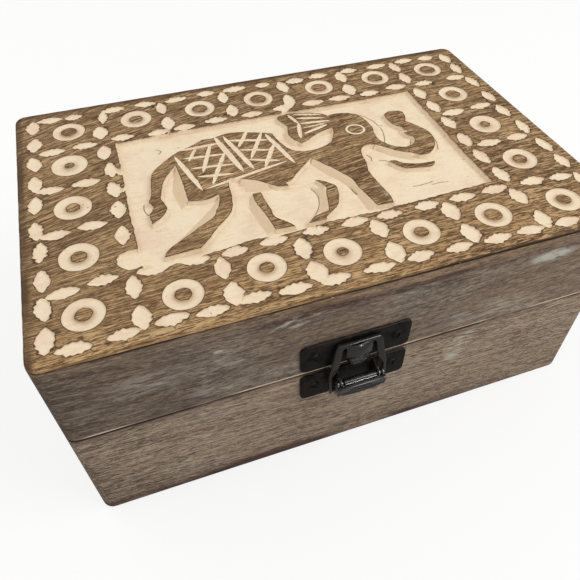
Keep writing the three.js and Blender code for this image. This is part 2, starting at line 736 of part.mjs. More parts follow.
function hingeLeaf(hinge, upwards) {
  const centre = hinge * (hingeSpacing / 2);
  const left = centre - hingeLength / 2;
  const right = centre + hingeLength / 2;
  const lidKnuckle = [left + hingeOuterKnuckle + knuckleGap, right - hingeOuterKnuckle - knuckleGap];
  const baseKnuckles = [
    [left, left + hingeOuterKnuckle],
    [right - hingeOuterKnuckle, right],
  ];
  const mine = upwards > 0 ? [lidKnuckle] : baseKnuckles;
  const theirs = upwards > 0 ? baseKnuckles : [lidKnuckle];
  const zs = [seamZ, seamZ + upwards * hingeLeafHeight].sort((a, b) => a - b);
  const plate = blockOf(left, right, backY + glueLine, hingeFaceY, zs[0], zs[1]);
  const knuckles = mine.map(([x0, x1]) => rodAlongX(hingeBarrelRadius, x0, x1, hingeAxisY, seamZ, 16));
  const room = theirs.map(([x0, x1]) =>
    rodAlongX(
      hingeBarrelRadius + hingeClearance,
      x0 - knuckleGap,
      x1 + knuckleGap,
      hingeAxisY,
      seamZ,
      16,
    ),
  );
  const bore = rodAlongX(hingePinRadius + hingeClearance / 2, left - 1, right + 1, hingeAxisY, seamZ, 12);
  const solid = joined([plate, ...knuckles]);
  const halfSpace = blockOf(
    left - 1,
    right + 1,
    backY - 1,
    hingeFaceY + 0.01,
    Math.min(seamZ, seamZ - upwards * hingeBarrelRadius * 2),
    Math.max(seamZ, seamZ - upwards * hingeBarrelRadius * 2),
  );
  const trimmed = solid.subtract(solidOf(halfSpace));
  const holes = screwHoles(hingeScrews(upwards).filter((s) => s.hinge === hinge));
  return cut(geometryOf(trimmed), [...room, bore, ...holes]);
}

function hingePin(hinge) {
  const centre = hinge * (hingeSpacing / 2);
  const half = hingeLength / 2 + 0.4;
  return rodAlongX(hingePinRadius, centre - half, centre + half, hingeAxisY, seamZ, 12);
}

// The boards, with the holes for their screws
const innerX = endX - wall - glueLine;
const innerY = boxWidth / 2 - wall - glueLine;

const baseFrontCuts = screwHoles(latchScrews(basePlateZ)).map(atLatch);
addPiece("base_front_board", cut(longBoard(-1, 0, seamZ), baseFrontCuts), wood);
addPiece("base_back_board", cut(longBoard(1, 0, seamZ), screwHoles(hingeScrews(-1))), wood);
addPiece("base_left_board", sideBoard(-1, 0, seamZ), wood);
addPiece("base_right_board", sideBoard(1, 0, seamZ), wood);
addPiece("base_bottom_board", blockOf(-innerX, innerX, -innerY, innerY, 0, bottomThickness), wood);

const lidFrontCuts = screwHoles(latchScrews(lidPlateZ)).map(atLatch);
addPiece("lid_front_board", cut(longBoard(-1, seamZ + glueLine, frameTopZ), lidFrontCuts), wood);
const lidBackCuts = screwHoles(hingeScrews(1));
addPiece("lid_back_board", cut(longBoard(1, seamZ + glueLine, frameTopZ), lidBackCuts), wood);
addPiece("lid_left_board", sideBoard(-1, seamZ + glueLine, frameTopZ), wood);
addPiece("lid_right_board", sideBoard(1, seamZ + glueLine, frameTopZ), wood);
addPiece("lid_top_board", carvedTopBoard(), carvedWood);

addPiece("latch_lid_plate", atLatch(lidLatchPlate()), blackIron);
addPiece("latch_base_plate", atLatch(baseLatchPlate()), blackIron);
addPiece("latch_lever", atLatch(latchLever()), blackIron);
addPiece("latch_bail", atLatch(latchBail()), blackIron);
addPiece("latch_pivot_pin", atLatch(leverPivot()), blackIron);

for (const [part, level] of [["lid", lidPlateZ], ["base", basePlateZ]]) {
  for (const s of latchScrews(level)) {
    const screw = screwAt(s.x + latchOffset, s.y, s.z, s.drive);
    addPiece(`latch_${part}_screw_${s.x < 0 ? "left" : "right"}`, screw, blackIron);
  }
}

for (const hinge of [-1, 1]) {
  const where = hinge < 0 ? "left" : "right";
  addPiece(`hinge_${where}_lid_leaf`, hingeLeaf(hinge, 1), blackIron);
  addPiece(`hinge_${where}_base_leaf`, hingeLeaf(hinge, -1), blackIron);
  addPiece(`hinge_${where}_pin`, hingePin(hinge), blackIron);
}

for (const [part, upwards] of [["lid", 1], ["base", -1]]) {
  for (const s of hingeScrews(upwards)) {
    const name = `hinge_${s.hinge < 0 ? "left" : "right"}_${part}_screw_${s.side < 0 ? "left" : "right"}`;
    addPiece(name, screwAt(s.x, s.y, s.z, s.drive), blackIron);
  }
}

export default box;
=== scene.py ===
import json
import math
import random

import bmesh
import bpy
import numpy as np
from mathutils import Matrix, Vector, geometry, kdtree, noise


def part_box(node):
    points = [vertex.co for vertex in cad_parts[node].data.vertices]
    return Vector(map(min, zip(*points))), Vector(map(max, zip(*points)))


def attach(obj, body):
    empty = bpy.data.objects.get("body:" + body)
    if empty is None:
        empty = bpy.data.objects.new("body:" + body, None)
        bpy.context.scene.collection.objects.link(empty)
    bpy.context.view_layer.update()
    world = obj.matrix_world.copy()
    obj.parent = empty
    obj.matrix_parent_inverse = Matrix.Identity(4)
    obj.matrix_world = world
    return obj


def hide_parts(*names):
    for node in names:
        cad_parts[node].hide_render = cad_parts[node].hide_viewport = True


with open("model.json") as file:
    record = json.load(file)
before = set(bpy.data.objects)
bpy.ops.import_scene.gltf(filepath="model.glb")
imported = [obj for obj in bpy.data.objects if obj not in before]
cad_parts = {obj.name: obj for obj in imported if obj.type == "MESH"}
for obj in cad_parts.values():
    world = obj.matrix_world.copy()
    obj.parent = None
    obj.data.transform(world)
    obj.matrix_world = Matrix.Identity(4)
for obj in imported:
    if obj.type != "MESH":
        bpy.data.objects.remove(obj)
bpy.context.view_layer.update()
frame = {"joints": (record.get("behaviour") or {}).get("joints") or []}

mm = 0.001
draw = random.Random(7)
noise.seed_set(7)  # without a seed, noise_vector differs from run to run

# the seam, the joint under the top board, and the box's outer faces
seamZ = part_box("base_front_board")[1].z
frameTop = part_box("lid_front_board")[1].z
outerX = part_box("base_front_board")[1].x
outerY = -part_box("base_front_board")[0].y


# Shader maths: a socket that takes part in Python expressions

class Flow:
    def __init__(self, tree, socket=None):
        self.tree = tree
        self.socket = socket

    def make(self, kind, settings=None, inputs=None, output=0):
        node = self.tree.nodes.new(kind)
        for name, setting in (settings or {}).items():
            if name == "stops":
                self.setStops(node.color_ramp, setting)
            else:
                setattr(node, name, setting)
        for name, value in (inputs or {}).items():
            if isinstance(value, Flow):
                self.tree.links.new(value.socket, node.inputs[name])
            else:
                node.inputs[name].default_value = value
        return Flow(self.tree, node.outputs[output])

    def setStops(self, ramp, stops):
        while len(ramp.elements) < len(stops):
            ramp.elements.new(0.5)
        for element, (place, colour) in zip(ramp.elements, stops):
            element.position = place
            element.color = colour

    def maths(self, operation, *values):
        return self.make("ShaderNodeMath", {"operation": operation}, dict(enumerate(values)))

    def __add__(self, other):
        return self.maths("ADD", self, other)

    def __radd__(self, other):
        return self.maths("ADD", other, self)

    def __sub__(self, other):
        return self.maths("SUBTRACT", self, other)

    def __rsub__(self, other):
        return self.maths("SUBTRACT", other, self)

    def __mul__(self, other):
        return self.maths("MULTIPLY", self, other)

    def __rmul__(self, other):
        return self.maths("MULTIPLY", other, self)

    def ramp(self, low, high, start=0.0, end=1.0):
        inputs = {"Value": self, "From Min": low, "From Max": high, "To Min": start, "To Max": end}
        return self.make("ShaderNodeMapRange", {"interpolation_type": "SMOOTHSTEP"}, inputs)

    def mix(self, first, second, blend="MIX"):
        settings = {"data_type": "RGBA", "blend_type": blend}
        return self.make("ShaderNodeMix", settings, {0: self, 6: first, 7: second}, 2)

    def colours(self, stops):
        return self.make("ShaderNodeValToRGB", {"stops": stops}, {"Fac": self})

    def mapped(self, scale, location=(0, 0, 0), rotation=(0, 0, 0)):
        inputs = {"Vector": self, "Scale": scale, "Location": location, "Rotation": rotation}
        return self.make("ShaderNodeMapping", None, inputs)

    def grainNoise(self, scale, detail=3.0, rough=0.55, distortion=0.0):
        inputs = {"Vector": self, "Scale": scale, "Detail": detail, "Roughness": rough, "Distortion": distortion}
        return self.make("ShaderNodeTexNoise", None, inputs)

    def axis(self, name):
        return self.make("ShaderNodeSeparateXYZ", None, {"Vector": self}, "XYZ".index(name))


def tone(red, green, blue):
    def linear(value):
        share = value / 255
        return share / 12.92 if share <= 0.04045 else ((share + 0.055) / 1.055) ** 2.4
    return (linear(red), linear(green), linear(blue), 1.0)


def newMaterial(name):
    material = bpy.data.materials.new(name)
    material.use_nodes = True
    tree = material.node_tree
    shader = tree.nodes["Principled BSDF"]
    flow = Flow(tree)
    place = flow.make("ShaderNodeTexCoord", None, None, "Object")
    return material, shader, flow, place


def plug(flow, shader, links):
    for name, value in links.items():
        if isinstance(value, Flow):
            flow.tree.links.new(value.socket, shader.inputs[name])
        else:
            shader.inputs[name].default_value = value


def named(flow, attribute):
    return flow.make("ShaderNodeAttribute", {"attribute_name": attribute}, None, "Fac")


# Finishes

topFinish = {
    "stain": tone(156, 123, 84),
    "stainDark": tone(74, 52, 35),
    "stainDeep": tone(126, 96, 64),
    "stainLight": tone(200, 168, 122),
    "golden": tone(184, 146, 98),
    "lime": tone(233, 215, 186),
    "limePink": tone(226, 198, 172),
    "limeTan": tone(216, 190, 156),
    "limeBrown": tone(172, 142, 110),
    "crack": tone(96, 70, 50),
}

boardFinish = {
    "brown": tone(118, 100, 84),
    "dark": tone(70, 56, 47),
    "light": tone(150, 130, 110),
    "pale": tone(176, 156, 134),
    "grey": tone(106, 100, 94),
    "red": tone(78, 54, 50),
    "tan": tone(138, 107, 76),
    "haze": tone(178, 174, 162),
    "arrisWearAndSheen": tone(198, 182, 156),
    "gap": tone(52, 40, 34),
}

insideFinish = {
    "brown": tone(150, 118, 84),
    "dark": tone(116, 86, 58),
    "light": tone(178, 146, 108),
}

ironFinish = {
    "black": tone(36, 35, 34),
    "brown": tone(54, 44, 38),
    "edge": tone(76, 68, 62),
    "rubbed": tone(84, 82, 79),
}


def stretched(place, grain, along, across, seed):
    scale = [across, across, across]
    scale["XYZ".index(grain)] = along
    return place.mapped(scale, (seed * 1.7, seed * 2.3, seed * 0.9))


def woodFigure(place, grain, seed):
    # soft clouds, fine fibres, and short dark pores, all drawn out along the grain
    cloud = stretched(place, grain, 16, 50, seed).grainNoise(1.0, 3.0, 0.55, 0.4)
    fibre = stretched(place, grain, 70, 1300, seed + 3).grainNoise(1.0, 4.0, 0.65, 0.2)
    pore = stretched(place, grain, 240, 2700, seed + 5).grainNoise(1.0, 3.0, 0.6, 0.1)
    return cloud, fibre, pore


def slantedGrain(place):
    # on the top the grain climbs to the right over the left half and lies level at the front and right
    x, y = place.axis("X"), place.axis("Y")
    climb = (x * 0.16 - x * x * 0.95) * y.ramp(-0.058, 0.0, 0.1, 1.3)
    return place.make("ShaderNodeCombineXYZ", None, {"X": x, "Y": y - climb, "Z": place.axis("Z")})


def carvedTopMaterial():
    material, shader, flow, place = newMaterial("carvedTop")
    cloud, fibre, pore = woodFigure(slantedGrain(place), "X", 1.0)
    cut = named(flow, "lime")
    facet = named(flow, "facet")
    rim = named(flow, "rim")
    hub = named(flow, "hub")
    crack = named(flow, "crack")
    side, across, height = place.axis("X"), place.axis("Y"), place.axis("Z")
    # the stain, more golden at the front, with light and dark fibres
    stain = cloud.ramp(0.36, 0.62).mix(topFinish["stainDeep"], topFinish["stain"])
    front = across.ramp(-0.03, -0.056) * cloud.ramp(0.3, 0.55, 0.45, 1.0)
    stain = (front * 0.7).mix(stain, topFinish["golden"])
    wool = stretched(slantedGrain(place), "X", 420, 1700, 8.0).grainNoise(1.0, 4.0, 0.7, 0.4)
    stain = (fibre.ramp(0.5, 0.6) * 0.7).mix(stain, topFinish["stainLight"])
    stain = (fibre.ramp(0.48, 0.38) * 0.6).mix(stain, topFinish["stainDark"])
    stain = (wool.ramp(0.52, 0.66) * 0.6).mix(stain, topFinish["stainLight"])
    stain = (wool.ramp(0.48, 0.36) * 0.8).mix(stain, topFinish["stainDark"])
    stain = (pore.ramp(0.5, 0.6) * 0.85).mix(stain, topFinish["stainDark"])
    # dirt and painted shade beside the cuts, dirt along the left and back edges, and the rolled edge, with painted
    # shade at its foot by the joint
    fleck = place.grainNoise(950.0, 3.0, 0.6)
    edgeDirtAndShade = rim.ramp(0.15, 0.6) * fleck.ramp(0.3, 0.55, 0.55, 1.0)
    stain = (edgeDirtAndShade * 0.9).mix(stain, topFinish["stainDark"])
    edgeDirt = side.ramp(-outerX + 3.5 * mm, -outerX + 1.5 * mm) + across.ramp(outerY - 4.5 * mm, outerY - 1.5 * mm)
    stain = (edgeDirt * cloud.ramp(0.3, 0.6, 0.3, 0.85)).mix(stain, topFinish["stainDark"])
    edge = height.ramp(frameTop + 1.2 * mm, frameTop + 0.6 * mm)
    stain = (edge * 0.45).mix(stain, topFinish["golden"])
    roll = edge * (fibre.ramp(0.56, 0.44) * 0.4 + side.ramp(-0.05, 0.06, 0.1, 0.9))
    # painted shade at the foot of the rolled edge, by the joint with the frame
    below = height.ramp(frameTop + 0.6 * mm, frameTop + 0.1 * mm)
    stain = (roll + below * 0.4).mix(stain, topFinish["stainDark"])
    handled = across.ramp(-outerY + 3.2 * mm, -outerY + 1.2 * mm) * side.ramp(-0.01, 0.05) * wool.ramp(0.58, 0.44)
    stain = (handled * 0.75).mix(stain, topFinish["stainDark"])
    # the lime, with painted shade on the sloping facets, brush marks, pits, dirt and painted shade at its edges, and
    # the splits
    patch = place.grainNoise(75.0, 4.0, 0.6)
    brush = place.mapped((260, 900, 260), (2, 5, 1)).grainNoise(1.0, 3.0, 0.6)
    lime = (patch.ramp(0.45, 0.66) * 0.7).mix(topFinish["lime"], topFinish["limePink"])
    # painted shade: the sloping facets are tinted tan, darker than the flat ground
    lime = (facet * 0.8).mix(lime, topFinish["limeTan"])
    lime = (brush.ramp(0.5, 0.36) * 0.35).mix(lime, topFinish["limeTan"])
    lime = (hub * 0.8).mix(lime, topFinish["limeBrown"])
    pit = place.mapped((1, 1, 1), (3, 1, 0)).grainNoise(420.0, 2.0, 0.5)
    lime = (pit.ramp(0.72, 0.77) * 0.6).mix(lime, topFinish["crack"])
    # dirt and painted shade at the top of the cut walls, on the lime side
    lime = (rim.ramp(0.4, 1.0) * 0.7).mix(lime, topFinish["limeBrown"])
    lime = (crack * fleck.ramp(0.3, 0.5, 0.3, 0.9)).mix(lime, topFinish["crack"])
    rubbed = place.mapped((70, 70, 60), (4.0, 1.0, 0)).grainNoise(1.0, 5.0, 0.75)
    smear = (rubbed.ramp(0.62, 0.78) * 0.4) * (1 - cut)
    colour = cut.mix(stain, lime)
    colour = smear.mix(colour, topFinish["lime"])
    # the underside was never stained
    bare = (fibre.ramp(0.5, 0.62) * 0.5).mix(insideFinish["brown"], insideFinish["light"])
    bare = (wool.ramp(0.48, 0.36) * 0.5).mix(bare, insideFinish["dark"])
    colour = height.ramp(frameTop - 0.1 * mm, frameTop - 0.5 * mm).mix(colour, bare)
    lump = place.mapped((1, 1, 1), (5, 2, 0)).grainNoise(330.0, 4.0, 0.65)
    relief = (fibre + wool) * 0.4 - pore * 0.5 + cut * (fleck * 0.9 + lump * 1.5)
    bump = flow.make("ShaderNodeBump", None, {"Strength": 0.6, "Distance": 0.00035, "Height": relief})
    plug(flow, shader, {
        "Base Color": colour,
        "Roughness": 0.66 + cut * 0.24 + (fibre - 0.5) * 0.2,
        "Normal": bump,
    })
    shader.inputs["Specular IOR Level"].default_value = 0.2
    return material


def smudge(place, x, z, width, tall, turn, seed):
    # a patch of dry limewash rubbed into the grain of the front; its shape also serves the painted shadows
    local = place.mapped((1, 1, 1), (-x, 0, -z)).mapped((1, 1, 1), (0, 0, 0), (0, turn, 0))
    local = local.mapped((1 / width, 0.0, 1 / tall))
    reach = local.make("ShaderNodeVectorMath", {"operation": "LENGTH"}, {0: local}, "Value")
    brushed = place.mapped((160, 160, 900), (seed, 0, 0)).grainNoise(1.0, 4.0, 0.7)
    return reach.ramp(1.0, 0.35) * brushed.ramp(0.42, 0.62)


def boardMaterial(name, grain, seed, wood, marks=()):
    # wood says how light, grey and streaked the board is; marks colour the bands along its edges
    material, shader, flow, place = newMaterial(name)
    side, across, height = place.axis("X"), place.axis("Y"), place.axis("Z")
    bow = side * wood.get("tilt", 0.0) - side * side * wood.get("curve", 0.0)
    bent = place.make("ShaderNodeCombineXYZ", None, {"X": side, "Y": across, "Z": height + bow})
    cloud, fibre, pore = woodFigure(bent, grain, seed)
    wool = stretched(bent, grain, 460, 2100, seed + 9).grainNoise(1.0, 4.0, 0.75, 0.6)
    weather = place.mapped((30, 30, 46), (seed * 3.1, seed, 0)).grainNoise(1.0, 3.0, 0.6)
    veil = place.mapped((22, 22, 60), (seed, seed * 1.3, 4)).grainNoise(1.0, 5.0, 0.7, 0.4)
    colour = (cloud.ramp(0.38, 0.6) * wood["lightness"]).mix(boardFinish["brown"], boardFinish["light"])
    colour = (weather.ramp(0.42, 0.62) * wood["grey"]).mix(colour, boardFinish["grey"])
    colour = (cloud.ramp(0.46, 0.32) * wood["shade"]).mix(colour, boardFinish["dark"])
    film = veil.ramp(0.5, 0.68) * wool.ramp(0.4, 0.56) * wood.get("veil", 0.0)
    colour = film.mix(colour, boardFinish["haze"])
    if wood.get("stainRun"):
        # the top's stain ran down a few millimetres and left a dark tide line
        runEnd, tideEnd, tideStart = wood["stainRun"]
        run = height.ramp(*runEnd) * side.ramp(-0.06, 0.0, 0.35, 1.0)
        colour = (run * weather.ramp(0.3, 0.5, 0.5, 0.9)).mix(colour, boardFinish["tan"])
        tide = height.ramp(*tideEnd) * height.ramp(*tideStart)
        tide = tide * side.ramp(-0.05, -0.02) * weather.ramp(0.3, 0.5, 0.5, 1.0)
        colour = tide.mix(colour, boardFinish["red"])
    # painted light and shade: lighter towards the right, darker towards the left
    colour = (side.ramp(-0.02, 0.08) * wood.get("paintedLightRight", 0.0)).mix(colour, boardFinish["light"])
    if wood.get("leftShade"):
        start, end, share = wood["leftShade"]
        colour = (side.ramp(start, end) * share).mix(colour, boardFinish["dark"])
    colour = (fibre.ramp(0.46, 0.6) * wood["pale"] * 0.7).mix(colour, boardFinish["pale"])
    colour = (fibre.ramp(0.5, 0.38) * 0.3).mix(colour, boardFinish["dark"])
    colour = (wool.ramp(0.48, 0.62) * wood["pale"]).mix(colour, boardFinish["pale"])
    colour = (wool.ramp(0.48, 0.36) * 0.7).mix(colour, boardFinish["dark"])
    colour = (pore.ramp(0.51, 0.6) * 0.5).mix(colour, boardFinish["dark"])
    ragged = height + (weather - 0.5) * 6.0 * mm
    # the marks stay on the outside, and the faces that meet when the lid shuts are plain
    beyondX = side.maths("ABSOLUTE", side) - outerX
    beyondY = across.maths("ABSOLUTE", across) - outerY
    skin = beyondX.maths("MAXIMUM", beyondX, beyondY).ramp(-2.4 * mm, -1.0 * mm)
    for tint, start, end, share, spread in marks:
        patch = place.mapped((spread, spread, 0), (seed, 0, 0)).grainNoise(1.0, 2.0, 0.5)
        source = ragged if abs(end - start) > 1.0 * mm else height  # only broad bands have a ragged edge
        mask = source.ramp(start, end) * patch.ramp(0.38, 0.56, 0.1, 1.0) * skin * share
        colour = mask.mix(colour, boardFinish[tint])
    for number, (x, z, width, tall, turn, strength) in enumerate(wood.get("smudges", ())):
        mask = smudge(place, x * mm, z * mm, width * mm, tall * mm, turn, number + seed)
        colour = (mask * strength).mix(colour, boardFinish["haze"])
    # painted shadows
    for x, z, width, tall, strength in wood.get("shadows", ()):
        mask = smudge(place, x * mm, z * mm, width * mm, tall * mm, 0, x + seed)
        colour = (mask * strength).mix(colour, boardFinish["dark"])
    crumb = place.mapped((420, 420, 420)).grainNoise(1.0, 2.0, 0.5)  # crumbs of lime under the top board
    filler = height.ramp(frameTop - 0.6 * mm, frameTop - 0.2 * mm) * crumb.ramp(0.66, 0.69)
    colour = filler.mix(colour, topFinish["lime"])
    relief = fibre * 0.5 + wool * 0.7 - pore * 0.5
    bump = flow.make("ShaderNodeBump", None, {"Strength": 0.7, "Distance": 0.0005, "Height": relief})
    plug(flow, shader, {"Base Color": colour, "Roughness": 0.7 + (fibre - 0.5) * 0.25, "Normal": bump})
    shader.inputs["Specular IOR Level"].default_value = 0.2
    return material


def insideMaterial(name, grain, seed):
    material, shader, flow, place = newMaterial(name)
    cloud, fibre, pore = woodFigure(place, grain, seed)
    colour = cloud.ramp(0.4, 0.62).mix(insideFinish["dark"], insideFinish["brown"])
    colour = (fibre.ramp(0.5, 0.68) * 0.6).mix(colour, insideFinish["light"])
    colour = (pore.ramp(0.54, 0.68) * 0.6).mix(colour, insideFinish["dark"])
    bump = flow.make("ShaderNodeBump", None, {"Strength": 0.4, "Distance": 0.0003, "Height": fibre - pore * 0.5})
    plug(flow, shader, {"Base Color": colour, "Roughness": 0.72 + (fibre - 0.5) * 0.2, "Normal": bump})
    shader.inputs["Specular IOR Level"].default_value = 0.2
    return material


def ironMaterial():
    material, shader, flow, place = newMaterial("blackenedIron")
    cloud = place.grainNoise(420.0, 4.0, 0.65)
    pit = place.grainNoise(2600.0, 3.0, 0.6)
    worn = named(flow, "worn")
    # what stands out from the front plates has been rubbed smooth by fingers
    handled = place.axis("Y").ramp(-outerY - 1.6 * mm, -outerY - 2.6 * mm)
    colour = cloud.ramp(0.45, 0.7).mix(ironFinish["black"], ironFinish["brown"])
    colour = (worn * cloud.ramp(0.3, 0.6)).mix(colour, ironFinish["edge"])
    colour = (handled * 0.7).mix(colour, ironFinish["rubbed"])
    scale = (pit + cloud * 0.6) * (1.2 - handled)
    bump = flow.make("ShaderNodeBump", None, {"Strength": 0.3, "Distance": 0.0001, "Height": scale})
    plug(flow, shader, {
        "Base Color": colour,
        "Roughness": 0.4 + cloud.ramp(0.3, 0.75) * 0.2 - handled * 0.24,
        "Coat Weight": handled,
        "Metallic": 0.75 + worn * 0.2,
        "Normal": bump,
    })
    shader.inputs["Specular IOR Level"].default_value = 0.6
    shader.inputs["Coat Roughness"].default_value = 0.12
    return material


# Making pieces

def keepPiece(name, bm, body, nodes, material, sharpAngle):
    bmesh.ops.recalc_face_normals(bm, faces=bm.faces)
    mesh = bpy.data.meshes.new(name)
    bm.to_mesh(mesh)
    bm.free()
    mesh.shade_smooth()
    mesh.set_sharp_from_angle(angle=math.radians(sharpAngle))
    piece = bpy.data.objects.new(name, mesh)
    bpy.context.scene.collection.objects.link(piece)
    mesh.materials.append(material)
    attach(piece, body)
    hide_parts(*nodes)
    return piece


def bevelEdges(bm, edges, width, segments):
    if edges:
        bmesh.ops.bevel(
            bm, geom=list(edges), offset=width, offset_type="OFFSET", segments=segments,
            profile=0.5, affect="EDGES", clamp_overlap=True, material=-1,
        )


def sharpEdges(bm, angle):
    return [e for e in bm.edges if len(e.link_faces) == 2 and e.calc_face_angle() > math.radians(angle)]


def blockMesh(low, high):
    bm = bmesh.new()
    bmesh.ops.create_cube(bm, size=1.0)
    bmesh.ops.scale(bm, vec=high - low, verts=bm.verts)
    bmesh.ops.translate(bm, vec=(low + high) / 2, verts=bm.verts)
    return bm


def extrudedOutline(bm, outline, axis, start, end):
    # a flat outline, drawn in the two axes other than the given one, and pulled along it
    others = [i for i in range(3) if i != axis]
    corners = []
    for first, second in outline:
        point = [0.0, 0.0, 0.0]
        point[others[0]], point[others[1]], point[axis] = first, second, start
        corners.append(bm.verts.new(point))
    face = bm.faces.new(corners)
    made = bmesh.ops.extrude_face_region(bm, geom=[face])
    moved = [v for v in made["geom"] if isinstance(v, bmesh.types.BMVert)]
    travel = Vector((0, 0, 0))
    travel[axis] = end - start
    bmesh.ops.translate(bm, vec=travel, verts=moved)


def arcPoints(centre, radius, start, end, count):
    angles = [math.radians(start + (end - start) * i / count) for i in range(count + 1)]
    return [(centre[0] + radius * math.cos(a), centre[1] + radius * math.sin(a)) for a in angles]


def curvePoints(start, pull, pullEnd, end, count):
    points = []
    for i in range(count + 1):
        t = i / count
        weights = ((1 - t) ** 3, 3 * t * (1 - t) ** 2, 3 * t * t * (1 - t), t ** 3)
        points.append(tuple(
            sum(w * p[k] for w, p in zip(weights, (start, pull, pullEnd, end))) for k in range(2)
        ))
    return points


# The eight boards of the frames and the bottom

boardShape = {
    "cornerRadius": 4.0 * mm,
    "footRadius": 1.7 * mm,
    "arrisRadius": 0.35 * mm,
    "loopSpacing": 3.5 * mm,
    "unevenness": 0.16 * mm,
}


def roundBoard(bm, low, high, side, footed):
    if side:
        faceY = low.y if side < 0 else high.y
        upright = [e for e in bm.edges if all(abs(v.co.y - faceY) < 1e-6 for v in e.verts)
                   and abs(e.verts[0].co.z - e.verts[1].co.z) > 0.01]
        bevelEdges(bm, upright, boardShape["cornerRadius"], 6)
    if footed:
        def isOuterFoot(edge):
            if any(abs(v.co.z - low.z) > 1e-6 for v in edge.verts):
                return False
            if side:
                insideY = high.y if side < 0 else low.y
                return not all(abs(v.co.y - insideY) < 1e-6 for v in edge.verts)
            endX = low.x if low.x < 0 else high.x
            return all(abs(v.co.x - endX) < 1e-6 for v in edge.verts)
        bevelEdges(bm, [e for e in bm.edges if isOuterFoot(e)], boardShape["footRadius"], 4)
    bevelEdges(bm, sharpEdges(bm, 60), boardShape["arrisRadius"], 2)


def loopCuts(bm, axis, low, high):
    count = int((high[axis] - low[axis]) / boardShape["loopSpacing"])
    normal = Vector((0, 0, 0))
    normal[axis] = 1.0
    for i in range(1, count):
        point = low.copy()
        point[axis] = low[axis] + (high[axis] - low[axis]) * i / count
        slicePart(bm, point, normal)


def slicePart(bm, point, normal):
    bmesh.ops.bisect_plane(bm, geom=bm.verts[:] + bm.edges[:] + bm.faces[:], plane_co=point, plane_no=normal)


def handWear(bm, low, high, seed):
    # the plane and years of handling leave the surfaces a little hollow here and there
    centre = (low + high) / 2
    half = (high - low) / 2
    for vert in bm.verts:
        dip = 0.5 + 0.5 * noise.noise(Vector((vert.co.x * 55, vert.co.y * 55 + seed, vert.co.z * 90)))
        for axis in range(3):
            reach = (vert.co[axis] - centre[axis]) / half[axis]
            if abs(reach) > 0.99:
                vert.co[axis] -= math.copysign(boardShape["unevenness"] * dip, reach)


def planedBoard(node, body, material, side=0, footed=False, grainAxis=0, seed=0.0):
    # side is -1 for a front and 1 for a back board, whose upright corners are rounded, and 0 for the others
    low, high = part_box(node)
    bm = blockMesh(low, high)
    roundBoard(bm, low, high, side, footed)
    loopCuts(bm, grainAxis, low, high)
    handWear(bm, low, high, seed)
    keepPiece("wood_" + node, bm, body, [node], material, 40)


# The shares of each tint. Smudges are x, z, width, height, turn and strength, in millimetres and radians,
# shadows are the same without a turn, and leftShade is where it starts, where it is full, and its share.
lidWood = {
    "lightness": 0.2,
    "grey": 0.55,
    "shade": 0.6,
    "pale": 0.3,
    "veil": 0.5,
    "paintedLightRight": 0.35,
    "curve": 0.4,
    "leftShade": (0.03, -0.03, 0.3),
    "stainRun": (
        (frameTop - 3.8 * mm, frameTop - 2.8 * mm),
        (frameTop - 6.2 * mm, frameTop - 4.6 * mm), (frameTop - 2.6 * mm, frameTop - 3.8 * mm),
    ),
    "smudges": [
        (-26, 71.8, 5.5, 0.8, 0.3, 1.0), (-22.5, 73.8, 4.5, 0.7, 0.4, 1.0), (-21.5, 70.4, 5, 0.9, 0.15, 0.9),
        (-16, 73.2, 2, 0.6, 0.2, 0.9), (63, 70.8, 9, 3.4, 0, 1.0), (58, 70.6, 6, 2.6, 0, 1.0), (-46, 51, 12, 6, 0, 0.4),
        (44, 52, 22, 7, 0, 0.4), (-64, 63, 16, 6, 0, 0.4), (-41, 63, 6, 4, 0, 0.3), (-44, 68.5, 2, 0.8, 0, 0.9),
    ],
    "shadows": [(-87, 60, 7, 18, 0.6), (20, 73, 26, 3.2, 0.8), (-60, 49, 24, 4, 0.4)],
}

baseWood = {
    "lightness": 0.9,
    "grey": 0.1,
    "shade": 0.15,
    "pale": 0.75,
    "veil": 0.3,
    "paintedLightRight": 0.4,
    "tilt": 0.06,
    "leftShade": (-0.05, -0.086, 0.3),
    "smudges": [(36, 35.5, 5.5, 12, -0.5, 1.0), (10, 28, 26, 11, 0, 0.25), (-48, 39, 12, 5, 0, 0.3)],
    "shadows": [(84, 8, 10, 8, 0.3), (-86, 20, 5, 22, 0.4)],
}

# Bands along the edges: the tint, the heights where it starts and is full, its share, and how broken it is
lidMarks = [
    # worn edge and painted highlight along the lid's lower edge
    ("arrisWearAndSheen", seamZ + 1.1 * mm, seamZ + 0.7 * mm, 0.95, 40),
    # painted shade of the joint under the top board
    ("gap", frameTop - 0.6 * mm, frameTop - 0.1 * mm, 0.9, 30),
]

baseMarks = [
    # painted shade of the seam below the lid
    ("gap", seamZ - 1.0 * mm, seamZ - 0.3 * mm, 1.0, 30),
    ("red", seamZ - 3.6 * mm, seamZ - 1.2 * mm, 0.35, 16),
    # painted shade along the base's rounded foot
    ("red", 6.2 * mm, 3.6 * mm, 0.85, 20),
]


